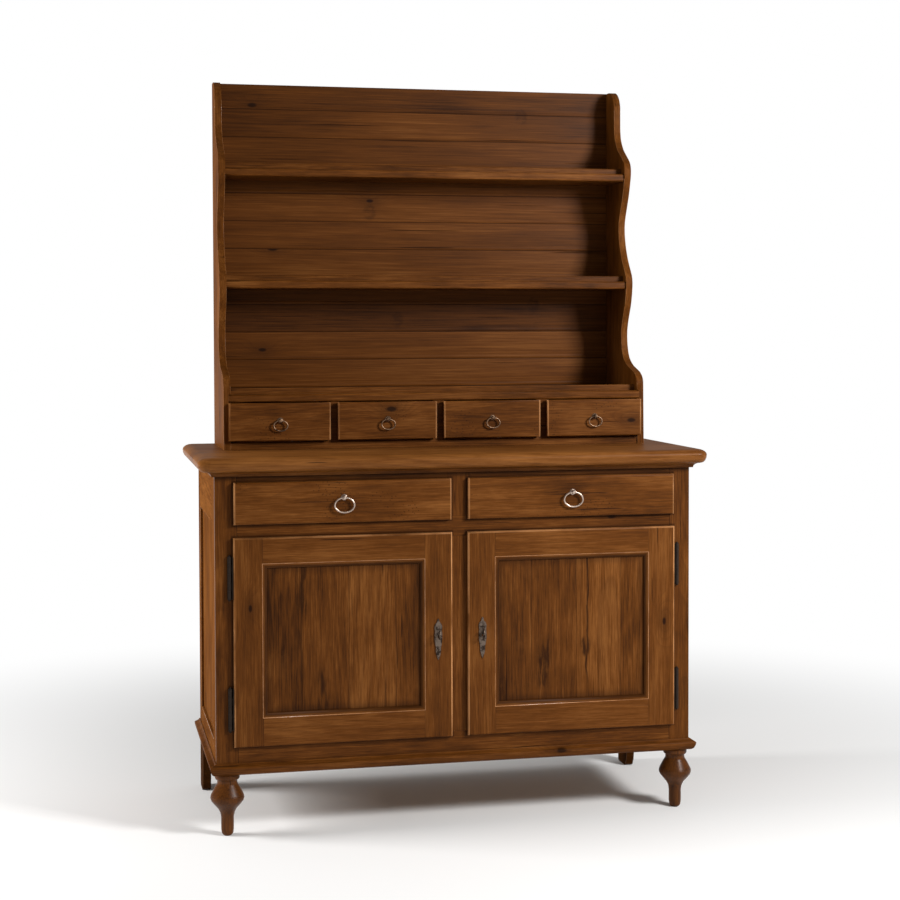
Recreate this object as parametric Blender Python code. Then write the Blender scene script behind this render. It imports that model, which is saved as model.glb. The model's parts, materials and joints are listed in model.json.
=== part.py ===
"""Sideboard with a plate rack, in stained pine.

A two-door base with two drawers stands on turned front feet, and its rear stiles run on down
as feet. On its worktop stands a rack with scalloped sides, three shelves and four small drawers.

Metres, +Z up. The front faces -Y and the left side is at -X. The origin lies on the floor,
under the middle of the outer box.
"""
import math

import bmesh
import bpy
from mathutils import Matrix, Vector
from mathutils.geometry import tessellate_polygon

# Fits and allowances
SLIP = 0.0003
SIDE_PLAY = 0.0015
OVERRUN = 0.005

# Base case
CASE_WIDTH = 1.212
CASE_DEPTH = 0.519
SIDE_THICKNESS = 0.022
FACE_THICKNESS = 0.022
FOOT_HEIGHT = 0.153

# Face frame
OUTER_STILE = 0.053
CENTRE_STILE = 0.059
BOTTOM_RAIL = 0.079
MIDDLE_RAIL = 0.050
DRAWER_OPENING_HEIGHT = 0.086
TOP_RAIL = 0.0355

# Worktop and the bed moulding under it
WORKTOP_HEIGHT = 0.930
WORKTOP_THICKNESS = 0.035
WORKTOP_OVERHANG = 0.042
NOSE_RUN = 0.0245
NOSE_DROP = 0.0145
NOSE_UNDERCUT = 0.014
WORKTOP_CORNER = 0.030
BED_HEIGHT = 0.0124
BED_REACH = 0.022
BED_FOOT = 0.008

# Side frames and their panels
SIDE_FRONT_STILE = 0.058
SIDE_REAR_STILE = 0.054
SIDE_BOTTOM_RAIL = 0.073
SIDE_TOP_RAIL = 0.131
SIDE_PANEL_RECESS = 0.0065
SIDE_PANEL_THICKNESS = 0.009
SIDE_PANEL_TONGUE = 0.008

# Rear feet, cut from the ends of the rear stiles
REAR_FOOT_TOP = 0.122
REAR_FOOT_WIDTH = 0.080
REAR_FOOT_CURVE = 0.062
REAR_FOOT_TIP = 0.022
REAR_FOOT_HEEL = 0.010

# Turned front feet
FOOT_BULB_RADIUS = 0.0415
FOOT_INSET_X = 0.028
FOOT_INSET_Y = 0.025
FOOT_TENON_RADIUS = 0.009
FOOT_TENON_LENGTH = 0.026
FOOT_PROFILE_SHARES = (
    (0.000, 0.20), (0.012, 0.27), (0.040, 0.340), (0.095, 0.372), (0.200, 0.378),
    (0.285, 0.374), (0.340, 0.400), (0.382, 0.445), (0.430, 0.540), (0.472, 0.670),
    (0.515, 0.810), (0.562, 0.945), (0.606, 1.000), (0.645, 0.985), (0.653, 0.950),
    (0.661, 0.968), (0.700, 0.890), (0.765, 0.770), (0.815, 0.655), (0.845, 0.595),
    (0.900, 0.585), (0.911, 0.680), (0.930, 0.728), (0.975, 0.728), (1.000, 0.700))

# Plinth moulding
PLINTH_HEIGHT = 0.029
PLINTH_REACH = 0.0155
PLINTH_SHARES = (
    (0.00, 0.02), (0.42, 0.03), (0.70, 0.16), (0.88, 0.36), (0.98, 0.56), (1.00, 0.66),
    (0.93, 0.73), (0.60, 0.80), (0.30, 0.89), (0.14, 1.00))

# Corner blocks behind the front feet
BLOCK_WIDTH = 0.048
BLOCK_DEPTH = 0.103
BLOCK_DROP = 0.016
BLOCK_SETBACK = 0.040

# Inside of the case
BACK_THICKNESS = 0.012
BACK_INSET = 0.002
BACK_BOARD_COUNT = 8
BACK_BOARD_GROOVE = 0.0025
FLOOR_THICKNESS = 0.018
FLOOR_DROP = 0.018
CUPBOARD_SHELF_RISE = 0.246
CUPBOARD_SHELF_THICKNESS = 0.018
CUPBOARD_SHELF_SETBACK = 0.060
CUPBOARD_SHELF_HOUSING = 0.005
RUNNER_THICKNESS = 0.018
RUNNER_BEARING = 0.024
RUNNER_RAIL = 0.060
JOINT_BITE = 0.002

# Doors
DOOR_LIP = 0.010
LIP_THICKNESS = 0.014
FRONT_ROUNDING = 0.005
DOOR_TONGUE = 0.0075
DOOR_STILE = 0.071
DOOR_TOP_RAIL = 0.065
DOOR_BOTTOM_RAIL = 0.071
PANEL_MOULDING = 0.0105
PANEL_RECESS = 0.0095
MOULDING_QUIRK = 0.0015
PANEL_THICKNESS = 0.007
PANEL_TONGUE = 0.006

# Butt hinges
HINGE_LENGTH = 0.104
HINGE_KNUCKLES = 5
HINGE_BARREL_RADIUS = 0.005
HINGE_PIN_RADIUS = 0.0021
HINGE_BORE_GAP = 0.0004
HINGE_STANDOFF = 0.0045
HINGE_OFFSET = 0.009
HINGE_LEAF_THICKNESS = 0.0016
HINGE_LEAF_WIDTH = 0.012
HINGE_FINIAL = 0.004
HINGE_FINIAL_RADIUS = 0.0032
HINGE_TAB = 0.003
HINGE_WEB = 0.0024
UPPER_HINGE_FROM_TOP = 0.098
LOWER_HINGE_FROM_BOTTOM = 0.092

# Locks, keys and lock plates
LOCK_HEIGHT_SHARE = 0.5044
LOCK_CASE_WIDTH = 0.054
LOCK_CASE_HEIGHT = 0.080
LOCK_CASE_THICKNESS = 0.013
LOCK_CASE_EDGE = 0.015
KEYHOLE_FROM_EDGE = 0.037
BOLT_LENGTH = 0.038
BOLT_HEIGHT = 0.013
BOLT_THICKNESS = 0.007
BOLT_THROW = 0.008
BOLT_PLAY = 0.0004
BOLT_ABOVE_KEY = 0.016
BOLT_FROM_DOOR = 0.003
KEY_SHAFT_RADIUS = 0.0022
KEY_SHAFT_PLAY = 0.0008
KEY_REACH_IN = 0.009
KEY_REACH_OUT = 0.0055
KEY_BIT_RADIUS = 0.0065
KEY_BIT_THICKNESS = 0.0018
KEY_BIT_LENGTH = 0.005
KEY_COLLAR_RADIUS = 0.0036
KEY_COLLAR_LENGTH = 0.002
KEY_BOW_LENGTH = 0.0165
KEY_BOW_HEIGHT = 0.0225
KEY_BOW_WIRE = 0.0018
PLATE_WIDTH = 0.020
PLATE_HEIGHT = 0.104
PLATE_THICKNESS = 0.0018
PLATE_BELOW_KEY = 0.064
KEYHOLE_RADIUS = 0.0034
KEYHOLE_SLOT_WIDTH = 0.0030
KEYHOLE_SLOT_DROP = 0.0095
PLATE_SHARES = (
    (0.00, 1.000), (0.26, 0.955), (0.34, 0.905), (0.78, 0.865), (1.00, 0.790), (0.88, 0.700),
    (0.96, 0.600), (1.00, 0.500), (0.82, 0.390), (0.62, 0.290), (0.66, 0.215), (0.46, 0.120),
    (0.24, 0.055), (0.00, 0.000))

# Base drawers
BASE_DRAWER_LIP = 0.0085
DRAWER_TONGUE = 0.009
BASE_DRAWER_LENGTH = 0.430
BASE_DRAWER_WALL = 0.012
BASE_DRAWER_FLOOR = 0.008
BASE_DRAWER_HEADROOM = 0.008

# Ring pulls
PULL_ROSE_RADIUS = 0.0080
PULL_ROSE_FACE_RADIUS = 0.0064
PULL_ROSE_THICKNESS = 0.002
PULL_POST_RADIUS = 0.0050
PULL_POST_LENGTH = 0.0135
PULL_TIP_RADIUS = 0.0035
PULL_TIP_LENGTH = 0.0019
PULL_AXIS_OUT = 0.0082
PULL_HOLE_GAP = 0.0011
BASE_RING_WIDTH = 0.054
BASE_RING_HEIGHT = 0.042
BASE_RING_WIRE = 0.0025
BASE_PULL_RISE = 0.011
SMALL_RING_WIDTH = 0.040
SMALL_RING_HEIGHT = 0.031
SMALL_RING_WIRE = 0.0021
SMALL_PULL_RISE = 0.0038

# Plate rack
TOTAL_HEIGHT = 1.900
RACK_WIDTH = 1.1245
RACK_DEPTH = 0.289
RACK_SIDE_THICKNESS = 0.018
RACK_TOP_RADIUS = 0.056
RACK_BACK_THICKNESS = 0.012
RACK_BOARD_PITCH = 0.0753
BOARD_GROOVE = 0.0022
BOARD_BEAD = 0.010
BOARD_QUIRK = 0.0018
RACK_EDGE_SETBACK = 0.003
RACK_BASE_THICKNESS = 0.0195
SMALL_DRAWER_BAY = 0.102
SHELF_THICKNESS = 0.0205
SHELF_PITCH = 0.2945
SHELF_ROUNDING = 0.004
SHELF_HOUSING = 0.005
MIDDLE_SHELF_DEPTH = 0.188
TOP_SHELF_DEPTH = 0.173
PLATE_STOP_HEIGHT = 0.0155
PLATE_STOP_THICKNESS = 0.010
PLATE_STOP_SETBACK = 0.024
PLATE_STOP_ROUNDING = 0.003
SIDE_CURVE_SHARES = (
    (0.167, 0.986), (0.181, 0.966), (0.197, 0.893), (0.212, 0.720), (0.228, 0.612), (0.247, 0.553),
    (0.280, 0.517), (0.313, 0.515), (0.347, 0.558), (0.381, 0.620), (0.415, 0.657), (0.447, 0.668),
    (0.469, 0.645), (0.493, 0.582), (0.522, 0.514), (0.555, 0.463), (0.590, 0.434), (0.622, 0.440),
    (0.655, 0.492), (0.688, 0.548), (0.722, 0.592), (0.752, 0.618), (0.773, 0.612), (0.790, 0.575),
    (0.809, 0.485), (0.830, 0.388), (0.862, 0.310), (0.897, 0.292))

# Small drawers in the rack
SMALL_DRAWER_COUNT = 4
DIVIDER_THICKNESS = 0.030
SMALL_DRAWER_LIP = 0.00575
SMALL_LIP_THICKNESS = 0.016
SMALL_FRONT_ROUNDING = 0.003
SMALL_FRONT_FOOT_GAP = 0.0037
SMALL_FRONT_HEAD_GAP = 0.0015
SMALL_TONGUE = 0.008
SMALL_DRAWER_LENGTH = 0.235
SMALL_DRAWER_WALL = 0.009
SMALL_DRAWER_FLOOR = 0.006
SMALL_DRAWER_HEADROOM = 0.006

# Smoothness of the round forms
ROUNDING_STEPS = 4
FOOT_SIDES = 28
BARREL_SIDES = 16
RING_STATIONS = 24
RING_SIDES = 8
SHARP_ANGLE = math.radians(35)

# Places that follow from the sizes above
REAR_Y = (CASE_DEPTH + WORKTOP_OVERHANG) / 2
FRONT_Y = REAR_Y - CASE_DEPTH
HALF_CASE = CASE_WIDTH / 2
CASE_INSIDE_X = HALF_CASE - SIDE_THICKNESS
FACE_BACK_Y = FRONT_Y + FACE_THICKNESS
CASE_TOP_Z = WORKTOP_HEIGHT - WORKTOP_THICKNESS
DOOR_Z0 = FOOT_HEIGHT + BOTTOM_RAIL
DRAWER_Z1 = CASE_TOP_Z - TOP_RAIL
DRAWER_Z0 = DRAWER_Z1 - DRAWER_OPENING_HEIGHT
DOOR_Z1 = DRAWER_Z0 - MIDDLE_RAIL
SIDE_OPENING_Z0 = FOOT_HEIGHT + SIDE_BOTTOM_RAIL
SIDE_OPENING_Z1 = CASE_TOP_Z - SIDE_TOP_RAIL
OPENING_X0 = CENTRE_STILE / 2
OPENING_X1 = HALF_CASE - OUTER_STILE
LIP_FRONT_Y = FRONT_Y - SLIP - LIP_THICKNESS
CASE_BACK_Y0 = REAR_Y - BACK_INSET - BACK_THICKNESS
FLOOR_Z1 = DOOR_Z0 - FLOOR_DROP
FLOOR_Z0 = FLOOR_Z1 - FLOOR_THICKNESS
HINGE_X = OPENING_X1 + DOOR_LIP + HINGE_OFFSET
HINGE_Y = FRONT_Y - HINGE_STANDOFF
KEY_X = OPENING_X0 - DOOR_LIP + KEYHOLE_FROM_EDGE
KEY_Z = DOOR_Z0 + LOCK_HEIGHT_SHARE * (DOOR_Z1 - DOOR_Z0)
LOCK_X0 = OPENING_X0 - DOOR_LIP + LOCK_CASE_EDGE
LOCK_Y0 = FRONT_Y + DOOR_TONGUE + SLIP
BOLT_Z = KEY_Z + BOLT_ABOVE_KEY
BOLT_Y0 = LOCK_Y0 + BOLT_FROM_DOOR
RACK_HALF = RACK_WIDTH / 2
RACK_INSIDE_X = RACK_HALF - RACK_SIDE_THICKNESS
RACK_Z0 = WORKTOP_HEIGHT + SLIP
RACK_HEIGHT = TOTAL_HEIGHT - RACK_Z0
RACK_FRONT_Y = REAR_Y - RACK_DEPTH
RACK_BASE_Z1 = RACK_Z0 + RACK_BASE_THICKNESS
LOWER_SHELF_Z0 = RACK_BASE_Z1 + SMALL_DRAWER_BAY
LOWER_SHELF_Z1 = LOWER_SHELF_Z0 + SHELF_THICKNESS
SHELF_NAMES = ("lower_shelf", "middle_shelf", "top_shelf")
SHELF_TOPS = tuple(LOWER_SHELF_Z1 + i * SHELF_PITCH for i in range(len(SHELF_NAMES)))
SHELF_DEPTHS = (RACK_DEPTH - RACK_EDGE_SETBACK, MIDDLE_SHELF_DEPTH, TOP_SHELF_DEPTH)
SMALL_OPENING = (2 * RACK_INSIDE_X - (SMALL_DRAWER_COUNT - 1) * DIVIDER_THICKNESS) / SMALL_DRAWER_COUNT
SMALL_PITCH = SMALL_OPENING + DIVIDER_THICKNESS
SIDES = (("left", -1), ("right", 1))
HINGE_NAMES = ("lower", "upper")


# Finishes

def finish(name, colour, roughness, metallic):
    """Makes a Principled material."""
    material = bpy.data.materials.new(name)
    material.use_nodes = True
    shader = material.node_tree.nodes["Principled BSDF"]
    shader.inputs["Base Color"].default_value = (*colour, 1)
    shader.inputs["Roughness"].default_value = roughness
    shader.inputs["Metallic"].default_value = metallic
    return material


def clear_scene():
    """Removes every object, so that the model stands alone."""
    for obj in list(bpy.data.objects):
        bpy.data.objects.remove(obj)


# Basic forms

def place(name, bm, material=None, smooth=False):
    """Turns a bmesh into a named object whose faces point out."""
    bmesh.ops.recalc_face_normals(bm, faces=bm.faces)
    mesh = bpy.data.meshes.new(name)
    bm.to_mesh(mesh)
    bm.free()
    obj = bpy.data.objects.new(name, mesh)
    bpy.context.scene.collection.objects.link(obj)
    if material:
        mesh.materials.append(material)
    if smooth:
        soften(obj)
    return obj


def soften(obj):
    """Shades a round piece smooth and keeps its real corners crisp."""
    obj.data.shade_smooth()
    obj.data.set_sharp_from_angle(angle=SHARP_ANGLE)


def add_loft(bm, loops, ring=False):
    """Joins loops of equal count with quads. A ring closes on itself, other lofts get flat ends."""
    rows = [[bm.verts.new(point) for point in loop] for loop in loops]
    count = len(rows[0])
    pairs = list(zip(rows, rows[1:]))
    if ring:
        pairs.append((rows[-1], rows[0]))
    for low, high in pairs:
        for i in range(count):
            j = (i + 1) % count
            bm.faces.new((low[i], low[j], high[j], high[i]))
    if not ring:
        bm.faces.new(rows[0])
        bm.faces.new(rows[-1])


def loft(name, loops, material=None, ring=False, smooth=False):
    """One lofted solid."""
    bm = bmesh.new()
    add_loft(bm, loops, ring)
    return place(name, bm, material, smooth)


def plan_rectangle(x0, x1, y0, y1, z):
    """A level rectangle at height z."""
    return [(x0, y0, z), (x1, y0, z), (x1, y1, z), (x0, y1, z)]


def upright_rectangle(x0, x1, z0, z1, y):
    """A rectangle that faces the front, at depth y."""
    return [(x0, y, z0), (x1, y, z0), (x1, y, z1), (x0, y, z1)]


def add_box(bm, x0, x1, y0, y1, z0, z1):
    """A plain block between the given faces."""
    add_loft(bm, [plan_rectangle(x0, x1, y0, y1, z) for z in (z0, z1)])


def box(name, x0, x1, y0, y1, z0, z1, material=None):
    """A plain block as an object."""
    bm = bmesh.new()
    add_box(bm, x0, x1, y0, y1, z0, z1)
    return place(name, bm, material)


def mirrored_box(name, sign, x0, x1, y0, y1, z0, z1, material=None):
    """A plain block on the side that sign names."""
    return box(name, *sorted((sign * x0, sign * x1)), y0, y1, z0, z1, material)


def on_side(x):
    """Places an outline drawn in depth and height at a distance x across."""
    return lambda u, v: (x, u, v)


def on_front(y):
    """Places an outline drawn across and up at a depth y."""
    return lambda u, v: (u, y, v)


def board(name, outline, holes, near, far, material=None):
    """A flat board sawn to an outline, with holes right through it, between two planes."""
    bm = bmesh.new()
    near_row, far_row = [], []
    for loop in [outline] + holes:
        a = [bm.verts.new(near(u, v)) for u, v in loop]
        b = [bm.verts.new(far(u, v)) for u, v in loop]
        for i in range(len(loop)):
            j = (i + 1) % len(loop)
            bm.faces.new((a[i], a[j], b[j], b[i]))
        near_row += a
        far_row += b
    flat = [[Vector((u, v, 0)) for u, v in loop] for loop in [outline] + holes]
    for i, j, k in tessellate_polygon(flat):
        bm.faces.new((near_row[i], near_row[j], near_row[k]))
        bm.faces.new((far_row[i], far_row[k], far_row[j]))
    return place(name, bm, material)


def rectangle(u0, u1, v0, v1):
    """A flat rectangle's corners."""
    return [(u0, v0), (u1, v0), (u1, v1), (u0, v1)]


def arc(centre, radii, start, end, steps=ROUNDING_STEPS):
    """Points along a round or oval arc, both ends included. Angles are in degrees."""
    points = []
    for i in range(steps + 1):
        angle = math.radians(start + (end - start) * i / steps)
        points.append((centre[0] + radii[0] * math.cos(angle), centre[1] + radii[1] * math.sin(angle)))
    return points


def rod(name, start, axis, stations, sides, material=None):
    """A round rod along X, Y or Z. Each station is a distance along it and a radius."""
    bm = bmesh.new()
    add_rod(bm, start, axis, stations, sides)
    return place(name, bm, material, smooth=material is not None)


def add_rod(bm, start, axis, stations, sides):
    """Adds a round rod to a bmesh."""
    across, along = {"X": ((1, 2), 0), "Y": ((0, 2), 1), "Z": ((0, 1), 2)}[axis]
    loops = []
    for distance, radius in stations:
        loop = []
        for i in range(sides):
            angle = math.tau * (i + 1 / 2) / sides
            point = list(start)
            point[along] += distance
            point[across[0]] += radius * math.cos(angle)
            point[across[1]] += radius * math.sin(angle)
            loop.append(point)
        loops.append(loop)
    add_loft(bm, loops)


def curve_value(p, q, r, s, t):
    """One coordinate of a smooth curve, a share t of the way from q to r."""
    bend = 2 * p - 5 * q + 4 * r - s
    twist = 3 * q - p - 3 * r + s
    return (2 * q + (r - p) * t + bend * t ** 2 + twist * t ** 3) / 2


def smooth_curve(points, steps):
    """A smooth curve through the points, by the Catmull-Rom rule."""
    ends = [points[0]] + list(points) + [points[-1]]
    curve = []
    for a, b, c, d in zip(ends, ends[1:], ends[2:], ends[3:]):
        for i in range(steps):
            curve.append(tuple(curve_value(*values, i / steps) for values in zip(a, b, c, d)))
    curve.append(points[-1])
    return curve


def boolean(target, operation, tools):
    """Joins or cuts the target with the tools, which are used up."""
    for tool in tools:
        modifier = target.modifiers.new(operation, "BOOLEAN")
        modifier.operation = operation
        modifier.solver = "EXACT"
        modifier.object = tool
    graph = bpy.context.evaluated_depsgraph_get()
    shaped = bpy.data.meshes.new_from_object(target.evaluated_get(graph))
    target.modifiers.clear()
    target.data = shaped
    for tool in tools:
        bpy.data.objects.remove(tool)
    return target


def cut(target, *tools):
    """Cuts the tools out of the target."""
    return boolean(target, "DIFFERENCE", tools)


def join(target, *tools):
    """Makes the tools one solid with the target."""
    return boolean(target, "UNION", tools)


def carry(name, place_on_axis, pieces, parent=None):
    """Hangs a moving body's pieces on an empty that lies on its joint's axis."""
    pivot = bpy.data.objects.new(name, None)
    bpy.context.scene.collection.objects.link(pivot)
    pivot.location = place_on_axis
    if parent:
        pivot.parent = parent
        pivot.matrix_parent_inverse = Matrix.Translation(parent.location).inverted()
    for piece in pieces:
        piece.parent = pivot
        piece.matrix_parent_inverse = Matrix.Translation(place_on_axis).inverted()
    return pivot


# Base case

def foot_socket(sign):
    """The hole at a front corner that takes a foot's tenon."""
    start = (sign * (HALF_CASE - FOOT_INSET_X), FRONT_Y + FOOT_INSET_Y, FOOT_HEIGHT - OVERRUN)
    length = OVERRUN + FOOT_TENON_LENGTH + SLIP
    radius = FOOT_TENON_RADIUS + SLIP
    return rod("socket", start, "Z", ((0, radius), (length, radius)), BARREL_SIDES)


def make_face_frame(wood):
    """Front frame of outer stiles and rails round the doors and drawers, in one plane."""
    outline = rectangle(-HALF_CASE, HALF_CASE, FOOT_HEIGHT + SLIP, CASE_TOP_Z - SLIP)
    holes = [rectangle(-OPENING_X1, OPENING_X1, DOOR_Z0, DOOR_Z1)]
    for _, sign in SIDES:
        x0, x1 = sorted((sign * OPENING_X0, sign * OPENING_X1))
        holes.append(rectangle(x0, x1, DRAWER_Z0, DRAWER_Z1))
    frame = board("face_frame", outline, holes, on_front(FRONT_Y), on_front(FACE_BACK_Y), wood)
    cutters = []
    for _, sign in SIDES:
        cutters.append(foot_socket(sign))
        cutters += [hinge_mortise(sign, z) for z in hinge_heights()]
    return cut(frame, *cutters)


def make_centre_stile(wood):
    """Stile between the doors, with a pocket at either side for a lock bolt."""
    stile = box("centre_stile", -OPENING_X0, OPENING_X0, FRONT_Y, FACE_BACK_Y,
                DOOR_Z0 + SLIP, DOOR_Z1 - SLIP, wood)
    return cut(stile, *[bolt_mortise(sign) for _, sign in SIDES])


def bolt_mortise(sign):
    """The pocket in the centre stile that a lock bolt shoots into."""
    depth = BOLT_THROW + BOLT_PLAY
    gap = 2 * BOLT_PLAY
    return mirrored_box(
        "mortise", sign, OPENING_X0 - depth, OPENING_X0 + OVERRUN,
        BOLT_Y0 - gap, BOLT_Y0 + BOLT_THICKNESS + gap,
        BOLT_Z - BOLT_HEIGHT / 2 - gap, BOLT_Z + BOLT_HEIGHT / 2 + gap)


def hinge_mortise(sign, z):
    """The shallow seat in an outer stile for a hinge leaf and the back of its barrel."""
    inner = HINGE_X - HINGE_LEAF_WIDTH - HINGE_TAB - SLIP
    outer = HINGE_X + HINGE_BARREL_RADIUS + SLIP
    depth = SLIP + HINGE_LEAF_THICKNESS + SLIP
    half = HINGE_LENGTH / 2 + SLIP
    return mirrored_box("seat", sign, inner, outer, FRONT_Y - OVERRUN, FRONT_Y + depth, z - half, z + half)


def side_outline():
    """Depth and height of a side frame's edge, with the rear foot at its back corner."""
    y0 = FACE_BACK_Y + SLIP
    heel = REAR_FOOT_HEEL
    tip_front = REAR_Y - REAR_FOOT_WIDTH + REAR_FOOT_TIP
    outline = [(y0, FOOT_HEIGHT + SLIP), (y0, CASE_TOP_Z - SLIP), (REAR_Y, CASE_TOP_Z - SLIP)]
    outline += arc((REAR_Y - heel, heel), (heel, heel), 0, -90)
    outline += arc((tip_front, REAR_FOOT_CURVE), (REAR_FOOT_TIP, REAR_FOOT_CURVE), 270, 180)
    curve_run = REAR_FOOT_TOP - REAR_FOOT_CURVE + SLIP
    curve_rise = FOOT_HEIGHT + SLIP - REAR_FOOT_CURVE
    centre = (REAR_Y - REAR_FOOT_WIDTH - curve_run, REAR_FOOT_CURVE)
    return outline + arc(centre, (curve_run, curve_rise), 0, 90)[1:]


def make_side_frame(name, sign, wood):
    """Stiles and rails of one side. The rear stile runs down to the floor as a foot."""
    y0 = FACE_BACK_Y + SIDE_FRONT_STILE
    y1 = REAR_Y - SIDE_REAR_STILE
    z0 = SIDE_OPENING_Z0
    z1 = SIDE_OPENING_Z1
    frame = board("side_frame_" + name, side_outline(), [rectangle(y0, y1, z0, z1)],
                  on_side(sign * CASE_INSIDE_X), on_side(sign * HALF_CASE), wood)
    tongue = SIDE_PANEL_TONGUE
    rebate = mirrored_box("rebate", sign, CASE_INSIDE_X - OVERRUN, HALF_CASE - SIDE_PANEL_RECESS,
                          y0 - tongue, y1 + tongue, z0 - tongue, z1 + tongue)
    shelf_z = cupboard_shelf_height()
    housing = mirrored_box("housing", sign, CASE_INSIDE_X - OVERRUN,
                           CASE_INSIDE_X + CUPBOARD_SHELF_HOUSING + SLIP,
                           FRONT_Y + CUPBOARD_SHELF_SETBACK - SLIP, CASE_BACK_Y0,
                           shelf_z - SLIP, shelf_z + CUPBOARD_SHELF_THICKNESS + SLIP)
    return cut(frame, rebate, housing, foot_socket(sign))


def make_side_panel(name, sign, wood):
    """Flat panel that sits in the rebate of a side frame."""
    tongue = SIDE_PANEL_TONGUE - SLIP
    outer = HALF_CASE - SIDE_PANEL_RECESS - SLIP
    return mirrored_box(
        "side_panel_" + name, sign, outer - SIDE_PANEL_THICKNESS, outer,
        FACE_BACK_Y + SIDE_FRONT_STILE - tongue, REAR_Y - SIDE_REAR_STILE + tongue,
        SIDE_OPENING_Z0 - tongue, SIDE_OPENING_Z1 + tongue, wood)


def worktop_loop(inset, z):
    """Plan of the worktop drawn in by inset at its front and ends, with rounded front corners."""
    half = HALF_CASE + WORKTOP_OVERHANG
    front = FRONT_Y - WORKTOP_OVERHANG
    radius = WORKTOP_CORNER - inset
    loop = []
    for sign, start, end in ((-1, 180, 270), (1, 270, 360)):
        centre = (sign * (half - WORKTOP_CORNER), front + WORKTOP_CORNER)
        loop += [(x, y, z) for x, y in arc(centre, (radius, radius), start, end)]
    return [(-(half - inset), REAR_Y, z)] + loop + [(half - inset, REAR_Y, z)]


def make_worktop(wood):
    """Worktop with a rounded nose round its front and both ends."""
    nose_z = WORKTOP_HEIGHT - NOSE_DROP
    under = nose_z - CASE_TOP_Z
    profile = arc((NOSE_UNDERCUT, nose_z), (NOSE_UNDERCUT, under), 270, 180)
    profile += arc((NOSE_RUN, nose_z), (NOSE_RUN, NOSE_DROP), 180, 90, ROUNDING_STEPS + 1)[1:]
    return loft("worktop", [worktop_loop(inset, z) for inset, z in profile], wood)


def wrap_moulding(name, profile, wood):
    """Runs a profile of reach and height along the left side, the front and the right side."""
    loops = []
    for sign_x, y_at in ((-1, "rear"), (-1, "front"), (1, "front"), (1, "rear")):
        loop = []
        for reach, z in profile:
            y = REAR_Y if y_at == "rear" else FRONT_Y - reach
            loop.append((sign_x * (HALF_CASE + reach), y, z))
        loops.append(loop)
    return loft(name, loops, wood)


def make_bed_moulding(wood):
    """Cove under the worktop's nose."""
    z1 = CASE_TOP_Z - SLIP
    z0 = CASE_TOP_Z - BED_HEIGHT
    cove = arc((BED_REACH, z0), (BED_REACH - BED_FOOT, z1 - z0), 180, 90)
    return wrap_moulding("bed_moulding", [(SLIP, z1), (SLIP, z0)] + cove, wood)


def make_plinth_moulding(wood):
    """Moulding round the bottom of the case."""
    z0 = FOOT_HEIGHT + SLIP
    profile = [(SLIP, z0 + PLINTH_HEIGHT), (SLIP, z0)]
    profile += [(SLIP + PLINTH_REACH * out, z0 + PLINTH_HEIGHT * up) for out, up in PLINTH_SHARES[1:]]
    return wrap_moulding("plinth_moulding", profile, wood)


def make_foot(name, sign, wood):
    """Turned front foot with a tenon on its top."""
    start = (sign * (HALF_CASE - FOOT_INSET_X), FRONT_Y + FOOT_INSET_Y, 0)
    stations = [(FOOT_HEIGHT * up, FOOT_BULB_RADIUS * out) for up, out in FOOT_PROFILE_SHARES]
    stations += [(FOOT_HEIGHT, FOOT_TENON_RADIUS), (FOOT_HEIGHT + FOOT_TENON_LENGTH, FOOT_TENON_RADIUS)]
    return rod("front_foot_" + name, start, "Z", stations, FOOT_SIDES, wood)


def make_case_back(wood):
    """Back of the case, with a groove at each joint of its upright boards."""
    half = CASE_INSIDE_X - SLIP
    y1 = REAR_Y - BACK_INSET
    pitch = 2 * half / BACK_BOARD_COUNT
    groove = BACK_BOARD_GROOVE
    outline = [(half, y1), (half, CASE_BACK_Y0), (-half, CASE_BACK_Y0), (-half, y1)]
    for i in range(1, BACK_BOARD_COUNT):
        x = -half + i * pitch
        outline += [(x - groove, y1), (x, y1 - groove), (x + groove, y1)]
    heights = (FOOT_HEIGHT + SLIP, CASE_TOP_Z - SLIP)
    return loft("case_back", [[(x, y, z) for x, y in outline] for z in heights], wood)


def make_case_floor(wood):
    """Floor of the cupboard, with the glued blocks that brace the front feet."""
    half = CASE_INSIDE_X - SLIP
    y0 = FACE_BACK_Y + SLIP
    floor = box("case_floor", -half, half, y0, CASE_BACK_Y0 - SLIP, FLOOR_Z0, FLOOR_Z1, wood)
    y1 = y0 + BLOCK_DEPTH
    step = y0 + BLOCK_SETBACK
    low = FOOT_HEIGHT - BLOCK_DROP
    top = FLOOR_Z0 + JOINT_BITE
    outline = [(y0, FOOT_HEIGHT + SLIP), (y0, top), (y1, top), (y1, low), (step, low),
               (step, FOOT_HEIGHT + SLIP)]
    blocks = []
    for _, sign in SIDES:
        across = (sign * half, sign * (half - BLOCK_WIDTH))
        blocks.append(loft("block", [[(x, y, z) for y, z in outline] for x in across]))
    join(floor, *blocks)
    return cut(floor, foot_socket(-1), foot_socket(1))


def cupboard_shelf_height():
    """Underside of the shelf in the cupboard."""
    return FLOOR_Z1 + CUPBOARD_SHELF_RISE


def make_cupboard_shelf(wood):
    """Shelf in the cupboard, its ends let into the side frames."""
    x = CASE_INSIDE_X + CUPBOARD_SHELF_HOUSING
    z0 = cupboard_shelf_height()
    return box("cupboard_shelf", -x, x, FRONT_Y + CUPBOARD_SHELF_SETBACK, CASE_BACK_Y0 - SLIP,
               z0, z0 + CUPBOARD_SHELF_THICKNESS, wood)


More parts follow.
